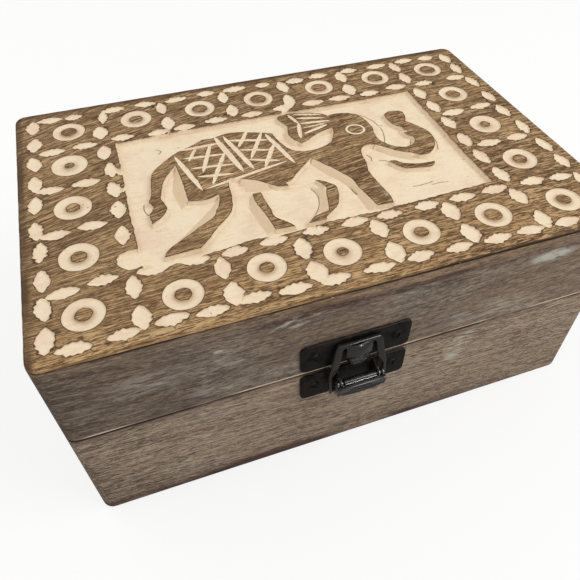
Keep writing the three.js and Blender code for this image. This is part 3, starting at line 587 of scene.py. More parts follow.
def makeBoards():
    plainLid = {"lightness": 0.35, "grey": 0.5, "shade": 0.5, "pale": 0.4, "veil": 0.35}
    plainBase = {"lightness": 0.8, "grey": 0.2, "shade": 0.3, "pale": 0.6, "veil": 0.3}
    front = {
        "lid": boardMaterial("lidFrontWood", "X", 2.0, lidWood, lidMarks),
        "base": boardMaterial("baseFrontWood", "X", 6.0, baseWood, baseMarks),
    }
    back = {
        "lid": boardMaterial("lidBackWood", "X", 9.0, plainLid, lidMarks),
        "base": boardMaterial("baseBackWood", "X", 12.0, plainBase, baseMarks),
    }
    sides = {
        "lid": boardMaterial("lidSideWood", "Y", 15.0, plainLid, lidMarks),
        "base": boardMaterial("baseSideWood", "Y", 18.0, plainBase, baseMarks),
    }
    for number, part in enumerate(("base", "lid")):
        footed = part == "base"
        boards = [("front", front, -1, 0, 3.0), ("back", back, 1, 0, 13.0),
                  ("left", sides, 0, 1, 23.0), ("right", sides, 0, 1, 33.0)]
        for hand, wood, side, grainAxis, seed in boards:
            node = f"{part}_{hand}_board"
            planedBoard(node, part, wood[part], side, footed, grainAxis, seed + number)
    planedBoard("base_bottom_board", "base", insideMaterial("bottomWood", "X", 21.0))


# The carved top board, drawn in millimetres as seen from above

topBoard = {
    "edgeIn": 1.2,
    "edgeDown": 1.1,
    "cornerRadius": 4.0,
    "wall": 8.4,
    "underLip": 1.45,
    "ragged": 0.3,
    "drawingShift": (-1.0, -0.9),
    "drawingStretch": (1.0, 1.02),
    "surfaceDown": 0.1,
    "wave": 0.07,
    "ripple": 0.03,
    "fillSpacing": 2.0,
    "groundSpacing": 1.05,
    "rimWidth": 0.45,
}

boardLow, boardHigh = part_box("lid_top_board")
halfLength, halfWidth = boardHigh.x / mm, boardHigh.y / mm


def placed(points):
    return np.array(points) * topBoard["drawingStretch"] + topBoard["drawingShift"]


# Rings as x, y, outer radius and the hub's radius. Loops, profile and shade run from the hub (0) to the rim (1).
ringPattern = {
    "loops": [(0.0, 26), (0.1, 24), (0.42, 26), (0.88, 34), (1.0, 40)],
    "profile": ([0, 0.1, 0.42, 0.88, 1], [0, 0.5, 0.62, 0.42, 0]),
    "shade": ([0, 0.1, 0.3, 0.5], [0.9, 0.6, 0.2, 0]),
    "rings": [
        (-71.8, 43.6, 5.6, 2.7), (-47.9, 44.6, 5.6, 2.4), (-24.2, 44.2, 5.6, 2.8), (-1.3, 44, 5.6, 3.0),
        (24, 44.7, 5.6, 2.9), (48.4, 44.7, 5.6, 3.0), (72, 44.1, 5.6, 3.1),
        (-74.7, -45.5, 5.6, 2.3), (-49.2, -47, 5.6, 2.3), (-25.3, -44.7, 5.6, 2.1), (-3, -45.8, 5.6, 1.75),
        (22.2, -45.7, 5.6, 2.2), (46.7, -45.8, 5.7, 2.7), (71.8, -46.7, 5.6, 2.3),
        (-73.1, 22.6, 5.9, 1.6), (-73.8, -0.4, 5.7, 2.1), (-74, -23.3, 5.7, 2.3),
        (72, 22.8, 5.6, 2.7), (72, -0.4, 5.7, 1.8), (71.5, -23.3, 5.8, 2.4),
    ],
}

# Leaves that lie along the board as x, y and length, leaves across it as x, y and width, and the lumps of lime
# that ran out of the cuts as x, y, length, width and turn
leafPattern = {
    "depth": 0.62,
    "blotDepth": 1.1,
    "wall": 0.35,
    "blunt": 2.1,
    "teeth": 0.32,
    "along": [
        (-77.8, 53.6, 9.6), (-69.4, 53.3, 6.6), (-55, 53.7, 8.8), (-43.2, 54, 8.5), (-31.5, 53.6, 8.8),
        (-19.6, 54.4, 7.6), (-8.2, 54.2, 9.8), (3.3, 53.7, 6.4), (16.7, 52.9, 8), (26.9, 53.6, 8.8),
        (40.4, 53.7, 7.8), (52.9, 53.6, 9.4), (65.8, 54.1, 8.8), (76, 53.6, 8),
        (-78.1, 32.3, 9.4), (-67.1, 32.9, 8.8), (-54.2, 33.9, 8.6), (-41.7, 32.9, 8), (-32.2, 33.3, 8.4),
        (-20.2, 34.3, 9), (-6.7, 34, 8.8), (5.6, 34.5, 8.6), (17.5, 34.3, 9.2), (28.6, 34.4, 9.4),
        (41.1, 34, 8.4), (53.1, 35.1, 9.3), (64.8, 34.2, 8.2), (79.6, 34.3, 8.6),
        (-80, 10.8, 9.3), (-68.8, 11.1, 9.5), (65.2, 10.8, 10.3), (77.1, 11.4, 9.4),
        (-79.6, -11.7, 9.3), (-69, -10.8, 9.3), (66.7, -11.4, 9.7), (78.3, -11.4, 8.7),
        (-79.2, -36.2, 9.3), (-68.6, -34.8, 8.9), (-55, -35, 9.6), (-43.3, -35.3, 8.6), (-32, -35.6, 8.2),
        (-20.2, -34.9, 9), (-7.1, -34.8, 8.6), (5.3, -35, 9.3), (16.7, -35.4, 8.8), (29.6, -35.2, 8.8),
        (42.1, -35.3, 9.8), (53.8, -35, 10), (68.1, -35.4, 9.4), (78.2, -36.4, 8.8),
        (-78.1, -56, 9.3), (-65.8, -55.4, 8.9), (-53.6, -54.6, 9.4), (-43.2, -55.3, 9.4), (-31.5, -54.4, 9.6),
        (-20.4, -55, 10), (-8.8, -55.2, 9.4), (4.3, -55.2, 10.3), (17.2, -54.8, 8.9), (29.6, -55.2, 9.3),
        (42.1, -55.6, 9.8), (53.3, -55.7, 9.8), (66.2, -56, 9.4), (79, -55.8, 9),
    ],
    "across": [
        (-83.8, 50.2, 4.9), (-83.6, 38.6, 5), (-84.2, 26.9, 4.8), (-84.3, 15.4, 4.7), (-84.7, 4.4, 4.4),
        (-85, -8.1, 4.2), (-84.2, -17.9, 4.2), (-84.2, -29.8, 4.4), (-84.5, -40.4, 4.6), (-84.5, -51.2, 5),
        (-59.3, 49.4, 3.4), (-61.4, 39.4, 5.4), (-61.4, 26.5, 4.8), (-60.6, 15.6, 4), (-60.8, 4.6, 4.6),
        (-60.8, -5.8, 4.8), (-61.2, -18.1, 4.4), (-61.2, -40, 4.7), (-60.8, -51.4, 5.2),
        (-37.8, 49.2, 4.1), (-37.3, 37.9, 5), (-36.9, -40.8, 4.7), (-36.5, -51.2, 5.6),
        (-13.9, 49.3, 4.3), (-12.9, 39, 4.7), (-13.3, -40.8, 5.3), (-12.7, -50.9, 6),
        (10.4, 49.6, 4.6), (9.5, 38.8, 4.5), (11, -40.1, 5.5), (11.1, -50.9, 6),
        (35.4, 49.6, 4.8), (34.8, 39.2, 5.4), (35.2, -40.1, 5.8), (35.6, -50.9, 5.6),
        (59.8, 50.2, 4.2), (59.8, 40.4, 4.7), (59.8, 27.3, 4.8), (60.2, 16.9, 4.7), (59.8, 4.8, 4.7),
        (59.6, -6.9, 4.8), (59.8, -17.7, 4.7), (60.4, -28.9, 5), (59.2, -40.6, 5.4), (59.8, -52.6, 5.3),
        (83.7, 50.6, 4.4), (83.7, 41, 4.3), (84.3, 29, 4.1), (84.3, 16.9, 4.5), (83.6, 5.7, 4.5),
        (84.2, -6.2, 4.3), (84.4, -18.7, 4.3), (84.4, -28.9, 4.3), (84.2, -40.2, 4.6), (84.2, -51, 4.6),
    ],
    "alongWidth": 4.1,
    "acrossLength": 9.1,
    "blots": [
        (-60, -29.3, 8.6, 8.2, 70), (-57.6, 13.4, 6.0, 2.8, -42), (-58.4, 3.4, 4.5, 2.0, 20),
        (-38.2, 31.2, 3.6, 1.2, 80), (-52.2, -8.8, 5.6, 3.0, 78), (5.6, 32, 5.5, 2.2, 50),
        (-50.5, -33.9, 17, 2.6, 3), (7.6, 36, 5, 2.6, 40),
    ],
}

panelPattern = {
    "depth": 1.4,
    "wall": 0.5,
    "corners": [
        [(-56.2, 31), (-30, 31.4), (0, 31.2), (30, 30.6), (57, 30.7)],
        [(57, 30.7), (56.8, 10), (56.3, -10), (56.5, -29.7)],
        [(56.5, -29.8), (40, -30.4), (22, -30.9), (16, -31.4), (2, -30.9), (-16, -31.9), (-24, -31.1), (-33, -32),
         (-41, -32.6), (-56.6, -31.6)],
        [(-56.6, -31.8), (-56.9, -10), (-56.4, 10), (-56.2, 31)],
    ],
}

# Each outline is a list of stretches that run smoothly and meet at corners.
elephant = {
    "body": [
        [(-51.2, -15), (-51.2, -9.8), (-50.3, -4)],
        [(-50.3, -4), (-49.1, -1), (-47.8, 7.3), (-46.2, 11), (-43.3, 13.9), (-39.9, 16.8), (-36.2, 19.3),
         (-32, 21), (-27, 23.6)],
        [(-27, 23.6), (-24, 23.4), (-20, 24.4), (-17, 24.7), (-13, 23.9), (-10, 22.8), (-5, 20.8)],
        [(-5, 20.8), (-2.6, 19.4)],
        [(-2.6, 19.4), (-1.8, 14), (-0.2, 9.2), (2.5, 6.4), (6, 5.5), (10, 5.7), (13.5, 6.8), (16, 8.8),
         (18.2, 12.8), (19.2, 16.3)],
        [(19.2, 16.3), (15, 15.2), (11.7, 13.9), (8.3, 11.8), (5.4, 10.4)],
        [(5.4, 10.4), (3.6, 13.2), (2.7, 16.8), (3.4, 20), (4, 22), (3, 25), (2.1, 27.3), (2.9, 29.4), (6.5, 30.2)],
        [(6.5, 30.2), (13, 28.8), (18.6, 26.4), (20.4, 24)],
        [(20.4, 24), (23, 24.6), (25.5, 24.3), (28.8, 23.1), (31.2, 21), (32.5, 17.5), (33, 12), (32.1, 8.5),
         (31.8, 5.2), (32.3, 2.7), (33.8, 0.2), (35.9, -1.9), (38.8, -3.2), (41.3, -2.8), (43.6, -0.9),
         (44.3, 1.6)],
        [(44.3, 1.6), (42.8, 3.2), (42.2, 6.6), (43.4, 8.4)],
        [(43.4, 8.4), (41.4, 10.2), (40.6, 13), (40.4, 16), (41, 18.5), (43, 19.5)],
        [(43, 19.5), (45.5, 19.4), (47.9, 18.2), (48, 16), (47.2, 13.5), (46.3, 11.8)],
        [(46.3, 11.8), (48, 9.3), (49.7, 6.8), (50.9, 3.5), (51.1, 1), (50.5, -2.3), (48.8, -5.7), (46.3, -8.2),
         (43.8, -9.4), (41.3, -9)],
        [(41.3, -9), (39.5, -7.2), (35.5, -4.8), (32.6, -1.8), (29, 1.7), (26.5, 2.1), (24, 1), (22.6, -2.4),
         (22, -7.3), (20.8, -11.5), (21, -15.7), (21.5, -20.7), (22, -25.7), (21.5, -29)],
        [(21.5, -29), (16, -28.6)],
        [(16, -28.6), (15, -22.3), (14.2, -17.8), (13.7, -13.2), (11.7, -9.4), (9.2, -4.8), (5.2, 1.4)],
        [(5.2, 1.4), (1.7, -1.9), (-0.8, -4), (-3.3, -6.5), (-5.2, -8.2), (-7.3, -9)],
        [(-7.3, -9), (-6.7, -10.5), (-10, -10)],
        [(-10, -10), (-13.3, -6.9), (-16.2, -4.4), (-20, -2.3), (-23.7, -0.7)],
        [(-23.7, -0.7), (-24.8, -4.5), (-25.3, -9.5), (-26.8, -15.5), (-29, -18.8), (-33.5, -23), (-36.5, -26.5),
         (-39.8, -29.5)],
        [(-39.8, -29.5), (-50.2, -30)],
        [(-50.2, -30), (-48.5, -27.2), (-41, -22.5), (-37, -20), (-33.3, -17.8), (-31.3, -14.5), (-29.8, -11.5),
         (-28.8, -7.5)],
        [(-28.8, -7.5), (-33, -9), (-38.8, -8)],
        [(-38.8, -8), (-38.6, 2), (-38.9, 11.7)],
        [(-38.9, 11.7), (-41.6, 8.5), (-44.1, 4.8), (-45.3, 1.4), (-46.8, -4)],
        [(-46.8, -4), (-45.6, -9), (-48, -12.8), (-51.2, -15)],
    ],
    "farHindLeg": [
        [(-19, -10.9), (-16.2, -11)],
        [(-16.2, -11), (-16, -15.7), (-15.6, -19.8), (-15.6, -23.2), (-12.1, -27.8), (-11.2, -29.4)],
        [(-11.2, -29.4), (-17.1, -29)],
        [(-17.1, -29), (-17.5, -25.7), (-18.1, -20.7), (-19.1, -15.7), (-19, -10.9)],
    ],
    "farFrontLeg": [
        [(2.5, -10.5), (4.6, -11.9), (6.7, -14), (7.7, -15.5)],
        [(7.7, -15.5), (7.1, -19), (5.8, -22.3), (4.2, -24.8), (2.1, -26.5), (-0.8, -28.6), (-1.3, -29.6)],
        [(-1.3, -29.6), (-7.1, -29.6)],
        [(-7.1, -29.6), (-5.8, -28.6), (-3.3, -26.9), (1, -26.1)],
        [(1, -26.1), (2.5, -21), (3.3, -17.8), (4.2, -14.8), (2.5, -10.5)],
    ],
    "tusk": [
        [(29.4, -9), (31.7, -9), (33, -10.8), (35.5, -12.3), (39, -13.4), (44.4, -13.8)],
        [(44.4, -13.8), (42.3, -16), (39, -15.8), (35, -14.9), (32.6, -14), (29.4, -9)],
    ],
}

# Broad sloping cuts beside the figure: the crest lies on the figure's edge and the toe on the ground.
slopes = [
    ([(-38.9, 11.3), (-38.6, 2), (-38.8, -8)], [(-40.5, 8), (-42.5, 0), (-41.5, -10)]),
    ([(-28.8, -7.7), (-29.8, -11.5), (-33.3, -17.8), (-41, -22.5), (-48.4, -27.1)],
     [(-30.2, -9), (-33, -12.4), (-37, -16), (-43, -21.5), (-49, -26)]),
    ([(-21, -1.8), (-16.2, -4.4), (-12, -8.3)], [(-20.6, -7.6), (-17, -8.9), (-13.4, -9.6)]),
    ([(-19, -11.2), (-19.1, -15.7), (-18.1, -20.7), (-17.1, -28.8)],
     [(-20.2, -11.5), (-21.6, -15.7), (-20.9, -22), (-19.8, -29)]),
    ([(5.4, 1.0), (9.2, -4.8), (11.7, -9.4), (13.7, -13.2), (14.2, -17.8), (15, -22.3), (15.9, -28.2)],
     [(4.8, -1.6), (8, -8), (10.4, -12), (11.6, -15), (12.5, -19), (12.9, -24), (13.1, -28.8)]),
    ([(4.1, -14.6), (3.3, -17.8), (2.5, -21), (1, -25.8)], [(0.5, -12.2), (0.9, -17), (0.5, -20), (-2.4, -25)]),
    ([(29, 1.7), (32.6, -1.8), (35.5, -4.8), (39.5, -7.2)], [(29.4, -0.8), (32, -4.2), (35.2, -7), (38.8, -9.6)]),
    ([(4.2, 12.2), (2.9, 15.6), (3.2, 19.6)], [(1.6, 11.4), (0.6, 15.6), (1.2, 19.8)]),
]

# Straight cuts from point to point with a width, and the eye as x, y, half length, half height, line and turn
lineCuts = {
    "depth": 0.5,
    "lines": [
        (-38.3, 17, -33.3, -4.3, 1.7), (-22.8, 24.2, -18.3, 1, 2.0), (-19.7, 23.6, -14.6, 1.3, 1.8),
        (-5.2, 20.4, -0.7, 0, 1.7), (-36.8, 19.6, -20.5, 19.6, 1.3), (-20, 20.6, -5, 16.2, 1.3),
        (-36, 14.5, -21.5, 12.8, 1.2), (-34.6, 8.4, -20, 6.2, 1.1), (-33.6, 3.3, -21.4, 1.2, 1.2),
        (-30.2, 19.6, -34.3, 12.4, 1.2), (-25.1, 19.9, -31.1, 5, 1.5), (-21.4, 14.2, -29.7, -2.4, 1.5),
        (-10.4, 24.4, -16.2, 15.2, 1.4), (-5.9, 21.6, -14.1, 7.2, 1.5), (-3.8, 13.6, -11, 1, 1.6),
        (-16.4, 13.6, -5.6, 9.9, 1.1), (-15, 7.2, -5, 3.2, 1.2), (-32.7, -3.8, -2.4, 2.3, 1.2),
        (6.6, 29.4, 8.5, 22.6, 1.3), (8.6, 23.2, 6.1, 13.4, 1.5), (8.4, 29, 18.9, 25.8, 1.0),
        (8.7, 26.2, 19.2, 23.2, 1.2), (8.9, 22.4, 20.2, 20.9, 1.3), (8.2, 15.7, 18.2, 18.7, 1.3),
        (8.8, 19.2, 18.6, 19.9, 0.7),
    ],
    "eye": (26.6, 12.5, 3.6, 3.3, 0.75, -15),
    "eyeWall": 0.3,
    "eyeDepth": 0.4,
    "notches": [(39.6, 9.9, 42, 9.3, 1.1), (40.6, 7.6, 43.2, 6.9, 1.1), (41.6, 6, 43.8, 5.3, 1)],
}

# Thin dark splits and tool marks in the limed ground
crackLines = {
    "width": 0.28,
    "depth": 0.2,
    "lines": [
        [(30.6, 23.6), (33.3, 20.6), (35.2, 15.8), (35.6, 10.8), (34.6, 6.4), (33, 2.5)],
        [(33, 2.5), (34, -0.6), (37, -2.6), (40.5, -2.2), (42.2, 0.2)],
        [(46.2, 10.6), (48.6, 6.2), (50.6, 1.6), (50.8, -2.6), (49, -7.2)],
        [(-0.8, -14.2), (-0.2, -18.2), (-1.8, -23.4), (-5.8, -28.4)],
        [(23.9, -2.6), (24.6, -4.3), (24.1, -6)],
        [(27, -6.8), (28.4, -7.4), (29.2, -8.6)],
        [(31, -23.6), (34.2, -23.8), (37.4, -23.4)],
        [(37.8, -24.7), (40.4, -24.6), (42.8, -25)],
        [(11.5, -19.8), (11.9, -21.6)],
        [(-16.8, -15.5), (-17.4, -21), (-16.6, -25.4)],
        [(-53.2, -4.8), (-53.4, -7.6), (-52.4, -10.6)],
        [(-44.4, 24.2), (-42.8, 23.2), (-43.8, 21.6)],
        [(56.4, 25), (57, 23.4)], [(56.2, 17), (57.4, 15.2)], [(56, 3), (57.2, 1.6)], [(56, -8), (57.2, -9.4)],
    ],
}


def smoothRun(points, step):
    # a curve through the points, with a point about every step
    count = len(points)
    if count == 2:
        pieces = max(1, int(math.dist(*points) / step))
        return [tuple(np.add(points[0], np.subtract(points[1], points[0]) * i / pieces)) for i in range(pieces)]
    made = []
    for i in range(count - 1):
        before, start = points[max(i - 1, 0)], points[i]
        end, after = points[i + 1], points[min(i + 2, count - 1)]
        pieces = max(1, int(math.dist(start, end) / step))
        for j in range(pieces):
            t = j / pieces
            made.append(tuple(
                0.5 * (2 * start[k] + (end[k] - before[k]) * t
                       + (2 * before[k] - 5 * start[k] + 4 * end[k] - after[k]) * t * t
                       + (3 * start[k] - before[k] - 3 * end[k] + after[k]) * t ** 3)
                for k in range(2)
            ))
    return made


def closedOutline(stretches, step, waver):
    points = [p for stretch in stretches for p in smoothRun(stretch, step)]
    shifted = []
    for x, y in points:
        drift = noise.noise_vector(Vector((x * 0.9, y * 0.9, 3.0))) * waver
        shifted.append((x + drift.x, y + drift.y))
    return placed(shifted)


def ovalOutline(x, y, halfLength, halfHeight, turn, count, waver):
    turned = math.radians(turn)
    points = []
    for i in range(count):
        angle = 2 * math.pi * i / count
        reach = 1 + waver * noise.noise(Vector((x + 2 * math.cos(angle), y + 2 * math.sin(angle), 1.0)))
        u, v = halfLength * reach * math.cos(angle), halfHeight * reach * math.sin(angle)
        points.append((u * math.cos(turned) - v * math.sin(turned), u * math.sin(turned) + v * math.cos(turned)))
    return np.array(points) + (x, y)


def leafOutline(x, y, length, width, turn, blunt, teeth, count, grow=0.0):
    # two bowed sides that meet in points, with the small teeth that the gouge leaves
    turned = math.radians(turn)
    halfLong, halfWide = length / 2 + grow * 1.3, width / 2 + grow
    points = []
    for side in (1, -1):
        for i in range(count):
            share = -1 + 2 * i / count
            u, v = share * halfLong, halfWide * (1 - abs(share) ** blunt)
            if i and teeth:
                u += draw.uniform(-0.6, 0.6) * teeth
                v += teeth * ((0.5 if i % 2 else -0.5) + draw.uniform(-0.8, 0.8))
            u, v = side * u, side * v
            points.append((u * math.cos(turned) - v * math.sin(turned), u * math.sin(turned) + v * math.cos(turned)))
    return np.array(points) + (x, y)


def insideOf(points, outline):
    low, high = outline.min(0), outline.max(0)
    near = np.all((points >= low) & (points <= high), axis=1)
    found = np.zeros(len(points), bool)
    tested = points[near]
    odd = np.zeros(len(tested), bool)
    for (x0, y0), (x1, y1) in zip(outline, np.roll(outline, -1, axis=0)):
        crosses = (y0 > tested[:, 1]) != (y1 > tested[:, 1])
        with np.errstate(divide="ignore", invalid="ignore"):
            at = (x1 - x0) * (tested[:, 1] - y0) / (y1 - y0) + x0
        odd ^= crosses & (tested[:, 0] < at)
    found[near] = odd
    return found


def distanceTo(points, line, closed):
    starts = line if closed else line[:-1]
    ends = np.roll(line, -1, axis=0) if closed else line[1:]
    best = np.full(len(points), 1e9)
    for start, end in zip(starts, ends):
        along = end - start
        share = np.clip((points - start) @ along / max(along @ along, 1e-12), 0, 1)
        best = np.minimum(best, np.linalg.norm(points - start - share[:, None] * along, axis=1))
    return best


def offsetOutline(outline, distance):
    before, after = np.roll(outline, 1, axis=0), np.roll(outline, -1, axis=0)
    along = after - before
    along /= np.maximum(np.linalg.norm(along, axis=1), 1e-9)[:, None]
    area = np.sum(outline[:, 0] * after[:, 1] - after[:, 0] * outline[:, 1])
    outward = np.stack([along[:, 1], -along[:, 0]], axis=1) * (1 if area > 0 else -1)
    return outline + outward * distance


def scoopCuts():
    # every small cut: its outline, the loops inside and outside its edge, its depth, and its wall's width
    cuts = []
    wall, depth = leafPattern["wall"], leafPattern["depth"]

    def addLeaf(x, y, length, width, turn, deep, blunt=leafPattern["blunt"], teeth=leafPattern["teeth"]):
        edge = leafOutline(x, y, length, width, turn, blunt, teeth, 10)
        loops = [leafOutline(x, y, length, width, turn, blunt, 0, 7, grow) for grow in (0.38, -wall - 0.05)]
        edge, loops = keptOnFlat(edge, 0.75), [keptOnFlat(loops[0], 0.55), loops[1]]
        cuts.append({"edge": edge, "loops": loops, "depth": deep, "wall": wall, "bowl": 0.4 * width, "dirtAndShade": 1.0})

    for x, y, length in leafPattern["along"]:
        width = leafPattern["alongWidth"] * draw.uniform(0.92, 1.06)
        addLeaf(x, y, length, width, draw.uniform(-4, 4), depth)
    for x, y, width in leafPattern["across"]:
        length = leafPattern["acrossLength"] * draw.uniform(0.96, 1.04)
        addLeaf(x, y, length, width, 90 + draw.uniform(-7, 7), depth)
    for x, y, length, width, turn in leafPattern["blots"]:
        addLeaf(x, y, length, width, turn, leafPattern["blotDepth"], 3.0, 0.35)
    for x0, y0, x1, y1, width in lineCuts["lines"] + lineCuts["notches"]:
        (x0, y0), (x1, y1) = placed([(x0, y0), (x1, y1)])
        length, turn = math.dist((x0, y0), (x1, y1)), math.degrees(math.atan2(y1 - y0, x1 - x0))
        middle = ((x0 + x1) / 2, (y0 + y1) / 2)
        edge = leafOutline(*middle, length, width, turn, 4.5, 0.1, 12)
        loops = [leafOutline(*middle, length, width, turn, 4.5, 0, 9, 0.3)]
        half = 0.5 * width
        cuts.append({"edge": edge, "loops": loops, "depth": lineCuts["depth"], "wall": half, "bowl": half, "dirtAndShade": 0.5})
    return cuts


def keptOnFlat(points, inset):
    # keep a loop inside the board's flat
    reach = np.array([halfLength, halfWidth]) - topBoard["edgeIn"] - inset
    return np.clip(points, -reach, reach)


def rimPoint(point, inset):
    # the board's outline at this inset, straight out from the given point
    core = np.array([halfLength, halfWidth]) - topBoard["cornerRadius"]
    middle = np.clip(point, -core, core)
    out = point - middle
    out /= max(np.linalg.norm(out), 1e-9)
    return middle + out * (topBoard["cornerRadius"] - inset)


def boardOutline():
    radius = topBoard["cornerRadius"]
    points = []
    for cornerX, cornerY, start in ((1, 1, 0), (-1, 1, 90), (-1, -1, 180), (1, -1, 270)):
        centre = (cornerX * (halfLength - radius), cornerY * (halfWidth - radius))
        points += arcPoints(centre, radius - topBoard["edgeIn"], start, start + 90, 5)
    filled = []
    for here, there in zip(points, points[1:] + points[:1]):
        pieces = max(1, int(math.dist(here, there) / 1.4))
        filled += [tuple(np.add(here, np.subtract(there, here) * i / pieces)) for i in range(pieces)]
    made = []
    for point in filled:
        chew = 0.5 + 0.5 * noise.noise(Vector((point[0] * 0.45, point[1] * 0.45, 8.0)))
        made.append(rimPoint(np.array(point), topBoard["edgeIn"] + topBoard["ragged"] * chew))
    return np.array(made)


class Relief:
    def __init__(self):
        self.rim = boardOutline()
        self.panel = closedOutline(panelPattern["corners"], 0.9, 0.45)
        self.figures = {name: closedOutline(stretches, 0.8, 0.2) for name, stretches in elephant.items()}
        self.scoops = scoopCuts()
        self.slopes = [(placed(crest), placed(toe)) for crest, toe in slopes]
        self.cracks = [np.array(smoothRun(line, 0.7) + [line[-1]]) for line in crackLines["lines"]]
        x, y, halfLong, halfTall, line, turn = lineCuts["eye"]
        x, y = placed((x, y))
        self.eyeOuter = ovalOutline(x, y, halfLong, halfTall, turn, 28, 0.05)
        self.eyeInner = ovalOutline(x, y, halfLong - line, halfTall - line, turn, 24, 0.05)
        self.rings = [((x, y), outer, hub) for x, y, outer, hub in ringPattern["rings"]]

    def ringLoops(self, centre, outer, hub):
        loops = []
        for share, count in ringPattern["loops"]:
            radius = hub + (outer - hub) * share
            wobble = {0.0: 0.09, 1.0: 0.02}.get(share, 0.0)
            loops.append(ovalOutline(*centre, radius, radius, 0, count, wobble))
        return loops

    def isGround(self, points):
        ground = insideOf(points, self.panel)
        for outline in self.figures.values():
            ground &= ~insideOf(points, outline)
        return ground

    def isCut(self, points):
        cut = self.isGround(points)
        for scoop in self.scoops:
            cut |= insideOf(points, scoop["edge"])
        for centre, outer, hub in self.rings:
            loops = self.ringLoops(centre, outer, hub)
            cut |= insideOf(points, loops[-1]) & ~insideOf(points, loops[0])
        cut |= insideOf(points, self.eyeOuter) & ~insideOf(points, self.eyeInner)
        return cut

    def isFacet(self, points):
        facet = np.zeros(len(points), bool)
        for crest, toe in self.slopes:
            facet |= insideOf(points, np.vstack([crest, toe[::-1]]))
        return facet

    def hubShade(self, points):
        shade = np.zeros(len(points))
        for centre, outer, hub in self.rings:
            share = (np.linalg.norm(points - centre, axis=1) - hub) / (outer - hub)
            near = (share > -0.1) & (share < 1.1)
            shade[near] = np.interp(share[near], *ringPattern["shade"])
        return shade

    def groundDepth(self, points):
        depth = np.zeros(len(points))
        ground = self.isGround(points)
        where = points[ground]
        edge = distanceTo(where, self.panel, True)
        for outline in self.figures.values():
            edge = np.minimum(edge, distanceTo(where, outline, True))
        sunk = panelPattern["depth"] * np.clip(edge / panelPattern["wall"], 0, 1)
        chisel = np.array([noise.noise(Vector((x * 0.35, y * 0.6, 5.0))) for x, y in where])
        sunk += 0.13 * chisel * np.clip(edge - 0.5, 0, 1)
        for crest, toe in self.slopes:
            sloping = insideOf(where, np.vstack([crest, toe[::-1]]))
            up = distanceTo(where[sloping], crest, False)
            down = distanceTo(where[sloping], toe, False)
            sunk[sloping] = panelPattern["depth"] * up / np.maximum(up + down, 1e-6)
        depth[ground] = sunk
        return depth

    def depths(self, points):
        depth = self.groundDepth(points)
        for scoop in self.scoops:
            inside = insideOf(points, scoop["edge"])
            reach = distanceTo(points[inside], scoop["edge"], True)
            share = 0.75 * np.clip(reach / scoop["wall"], 0, 1) + 0.25 * np.clip(reach / scoop["bowl"], 0, 1)
            depth[inside] = np.maximum(depth[inside], scoop["depth"] * share)
        for centre, outer, hub in self.rings:
            share = (np.linalg.norm(points - centre, axis=1) - hub) / (outer - hub)
            inside = (share > 0.03) & (share < 0.97)
            depth[inside] = np.maximum(depth[inside], np.interp(share[inside], *ringPattern["profile"]))
        inside = insideOf(points, self.eyeOuter) & ~insideOf(points, self.eyeInner)
        eye = points[inside]
        edge = np.minimum(distanceTo(eye, self.eyeOuter, True), distanceTo(eye, self.eyeInner, True))
        sunk = np.clip(edge / lineCuts["eyeWall"], 0, 1) * lineCuts["eyeDepth"]
        depth[inside] = np.maximum(depth[inside], sunk)
        return depth

    def cutEdges(self):
        # each closed edge, the side on which the wood lies, and how dark the dirt and painted shade beside it are
        edges = [(self.panel, 1, 1.0), (self.eyeOuter, 1, 0.35), (self.eyeInner, -1, 0.35)]
        edges += [(outline, -1, 0.8) for outline in self.figures.values()]
        edges += [(scoop["edge"], 1, scoop["dirtAndShade"]) for scoop in self.scoops]
        for ring in self.rings:
            loops = self.ringLoops(*ring)
            edges += [(loops[0], -1, 1.0), (loops[-1], 1, 0.8)]
        return edges

    def dirtAndShadePoints(self):
        # the points of the edges where wood really begins, with the darkness of their dirt and painted shade
        found = []
        for loop, side, dirtAndShade in self.cutEdges():
            beyond = self.isCut(offsetOutline(loop, 0.15 * side))
            found += [(tuple(point), dirtAndShade) for point, covered in zip(loop, beyond) if not covered]
        return found

    def helpers(self):
        # loops beside the cut edges, which hold the walls steep and the dark rims narrow
        wall = panelPattern["wall"]
        loops = [self.rim, offsetOutline(self.panel, -wall), offsetOutline(self.panel, 0.4)]
        for outline in self.figures.values():
            loops += [offsetOutline(outline, wall), offsetOutline(outline, -0.35)]
        for scoop in self.scoops:
            loops += scoop["loops"]
        for centre, outer, hub in self.rings:
            loops += self.ringLoops(centre, outer, hub)[1:-1]
            loops += [ovalOutline(*centre, radius, radius, 0, 30, 0) for radius in (hub - 0.35, outer + 0.35)]
        return loops

    def openLines(self):
        lines = [toe for _, toe in self.slopes]
        for crack in self.cracks:
            along = np.gradient(crack, axis=0)
            along /= np.maximum(np.linalg.norm(along, axis=1), 1e-9)[:, None]
            side = np.stack([-along[:, 1], along[:, 0]], axis=1) * crackLines["width"]
            lines += [crack, crack + side, crack - side]
        return lines

    def crackShade(self, points):
        shade = np.zeros(len(points))
        for crack in self.cracks:
            near = np.all((points > crack.min(0) - 1) & (points < crack.max(0) + 1), axis=1)
            away = distanceTo(points[near], crack, False)
            shade[near] = np.maximum(shade[near], np.clip(1 - away / crackLines["width"], 0, 1))
        return shade

    def loosePoints(self, crowded):
        # scattered points that carry the unevenness of the flats, clear of every cut's edge
        tree = kdtree.KDTree(len(crowded))
        for index, (x, y) in enumerate(crowded):
            tree.insert((x, y, 0), index)
        tree.balance()
        kept = []

